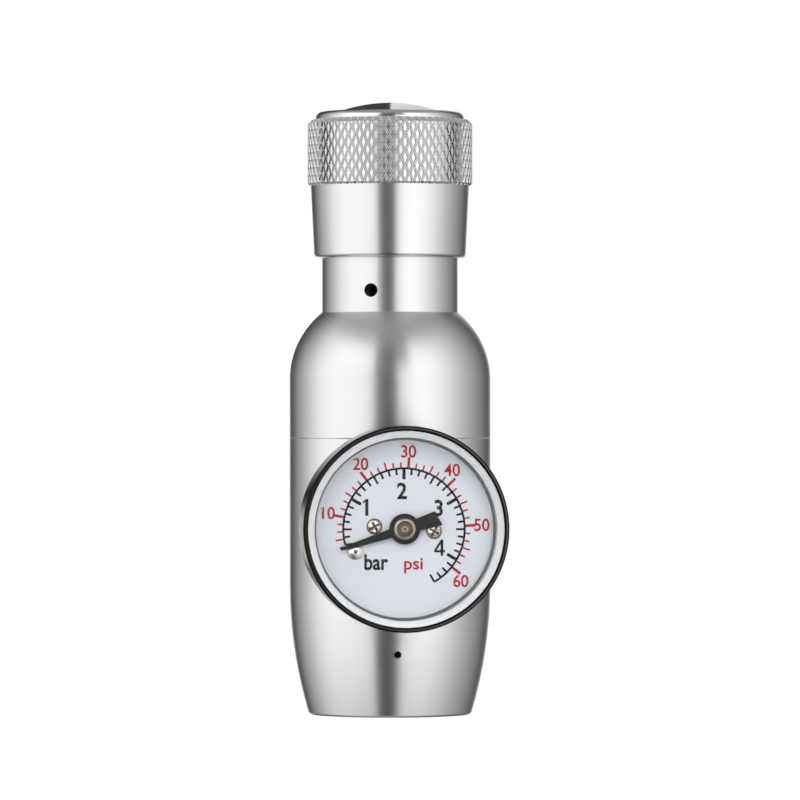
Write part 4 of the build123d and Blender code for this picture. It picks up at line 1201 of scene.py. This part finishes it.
# %% Rest pin
pin_low, pin_high = (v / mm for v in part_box("pointer_rest_pin"))
pin_x = (pin_low.x + pin_high.x) / 2
pin_y = (pin_low.z + pin_high.z) / 2 - gauge_height
pin_r = (pin_high.x - pin_low.x) / 2
pin_top = -pin_low.y
to_pin = Matrix.Translation((pin_x * mm, pin_y * mm, 0))
rivet_end = dial_face - 0.35
hole_r = 0.29
dome_top = dial_face + 0.37
dome_outline = (
    (0, rivet_end),
    (hole_r, rivet_end),
    (hole_r, dial_face),
    (pin_r, dial_face),
    (pin_r, dial_face + 0.12),
    (pin_r * 0.72, dial_face + 0.3),
    (0.38, dome_top),
    (0, dome_top),
)
shape = turned_shape(dome_outline, ((4, 0.08), (5, 0.25)), steps=64)
shape = on_gauge(moved(shape, to_pin))
pin_dome = finished(shape, "rest_pin_dome", bright_nickel, sharp=60)
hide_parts("pointer_rest_pin")
post_r = 0.28
shape = turned_shape(ring(0, post_r, dial_face, pin_top), ((2, 0.12),), steps=32)
dark_post = worked("darkened_steel", (0.10, 0.09, 0.08), 0.35)
finished(on_gauge(moved(shape, to_pin)), "rest_pin_post", dark_post)

# %% [markdown]
# ## Threads
# Both threaded bores get a thread that stands inward from the bore's wall. One ridge's section is
# spun with a small lift at each step, which makes a screw. The ends are closed by the section's
# own faces.

# %% Threads
def thread_ridge(bore_r, crest_r, start, length, pitch_mm, steps=48):
    """A right-handed inner thread on the wall of a bore along Z, as one closed ridge."""
    shape = bmesh.new()
    turns = length / pitch_mm - 1
    half_root = pitch_mm * 0.42
    half_crest = pitch_mm * 0.07
    middle = start + pitch_mm / 2
    wall_r = bore_r + 0.04
    corners = (
        (wall_r, -half_root),
        (wall_r, half_root),
        (crest_r, half_crest),
        (crest_r, -half_crest),
    )
    section = [shape.verts.new((r * mm, 0, (middle + z) * mm)) for r, z in corners]
    face = shape.faces.new(section)
    count = int(steps * turns)
    bmesh.ops.spin(
        shape,
        geom=section + [face] + list(face.edges),
        axis=(0, 0, 1),
        cent=(0, 0, 0),
        dvec=(0, 0, pitch_mm * mm * turns / count),
        angle=2 * pi * turns,
        steps=count,
    )
    return shape


insert_corner, insert_far = (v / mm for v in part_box("inlet_insert"))
insert_low = insert_corner.z
insert_top = insert_far.z
insert_r = insert_far.x
root_of_thread = 4.75
crest_of_thread = 4.3
thread_length = 5.6
relief_r = 4.9
pin_hole_r = 2.5
seal_seat = insert_top - 1.8
insert_outline = (
    (root_of_thread, insert_low),
    (insert_r, insert_low),
    (insert_r, insert_top),
    (pin_hole_r, insert_top),
    (pin_hole_r, seal_seat),
    (relief_r, seal_seat),
    (relief_r, insert_low + thread_length),
    (root_of_thread, insert_low + thread_length),
)
shape = turned_shape(insert_outline, ((0, 0.25),), steps=96)
insert = finished(shape, "inlet_insert_turned", brass)
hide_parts("inlet_insert")
cartridge_pitch = 25.4 / 24
lead_in = 0.1
shape = thread_ridge(
    root_of_thread,
    crest_of_thread,
    insert_low + lead_in,
    thread_length - lead_in,
    cartridge_pitch,
)
finished(shape, "cartridge_thread_ridge", brass)
port_floor = 7.0
port_r = 5.0
port_crest_r = 4.5
port_pitch = 1.0
port_start = port_floor + 0.2
port_length = 5.5
shape = thread_ridge(port_r, port_crest_r, port_start, port_length, port_pitch)
moved(shape, facing_back)
finished(shape, "outlet_thread_ridge", body_finish)

# %% [markdown]
# ## The seam
# The bonnet screws into the body, and both edges of the joint are broken. Dirt and shadow sit in
# the fine groove between them, so a thin dark ring lies in it, just below the surface.

# %% Seam
body_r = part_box("lower_body")[1].x / mm
seam_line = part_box("bonnet")[0].z / mm
seam_half = 0.065
seam_r = body_r - 0.015
seam_inner_r = seam_r - 0.2
seam_outline = ring(seam_inner_r, seam_r, seam_line - seam_half, seam_line + seam_half)
shape = turned_shape(seam_outline, steps=256)
# The ring's dark grey is dirt and painted shade of the groove.
soot_and_shade = (0.035, 0.035, 0.036)
grime_and_shade, tree, shader = plain_finish("seam_grime_and_shade", soot_and_shade, 0.6, Specular_IOR_Level=0.2)
patchy = stretched_noise(tree, (300, 300, 40), detail=3.0)
share = ranged(tree, patchy, 0.0, 1.0, 0.35, 0.65)
look(shader, Base_Color=mixed(tree, share, (0.24, 0.24, 0.24, 1), (0.52, 0.52, 0.52, 1)))
finished(shape, "seam_groove", grime_and_shade)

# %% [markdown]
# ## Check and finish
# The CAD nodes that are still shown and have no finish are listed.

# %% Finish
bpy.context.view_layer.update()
bare = sorted(name for name, n in nodes.items() if not n.hide_render and not n.data.materials)
print("nodes without a finish:", bare)
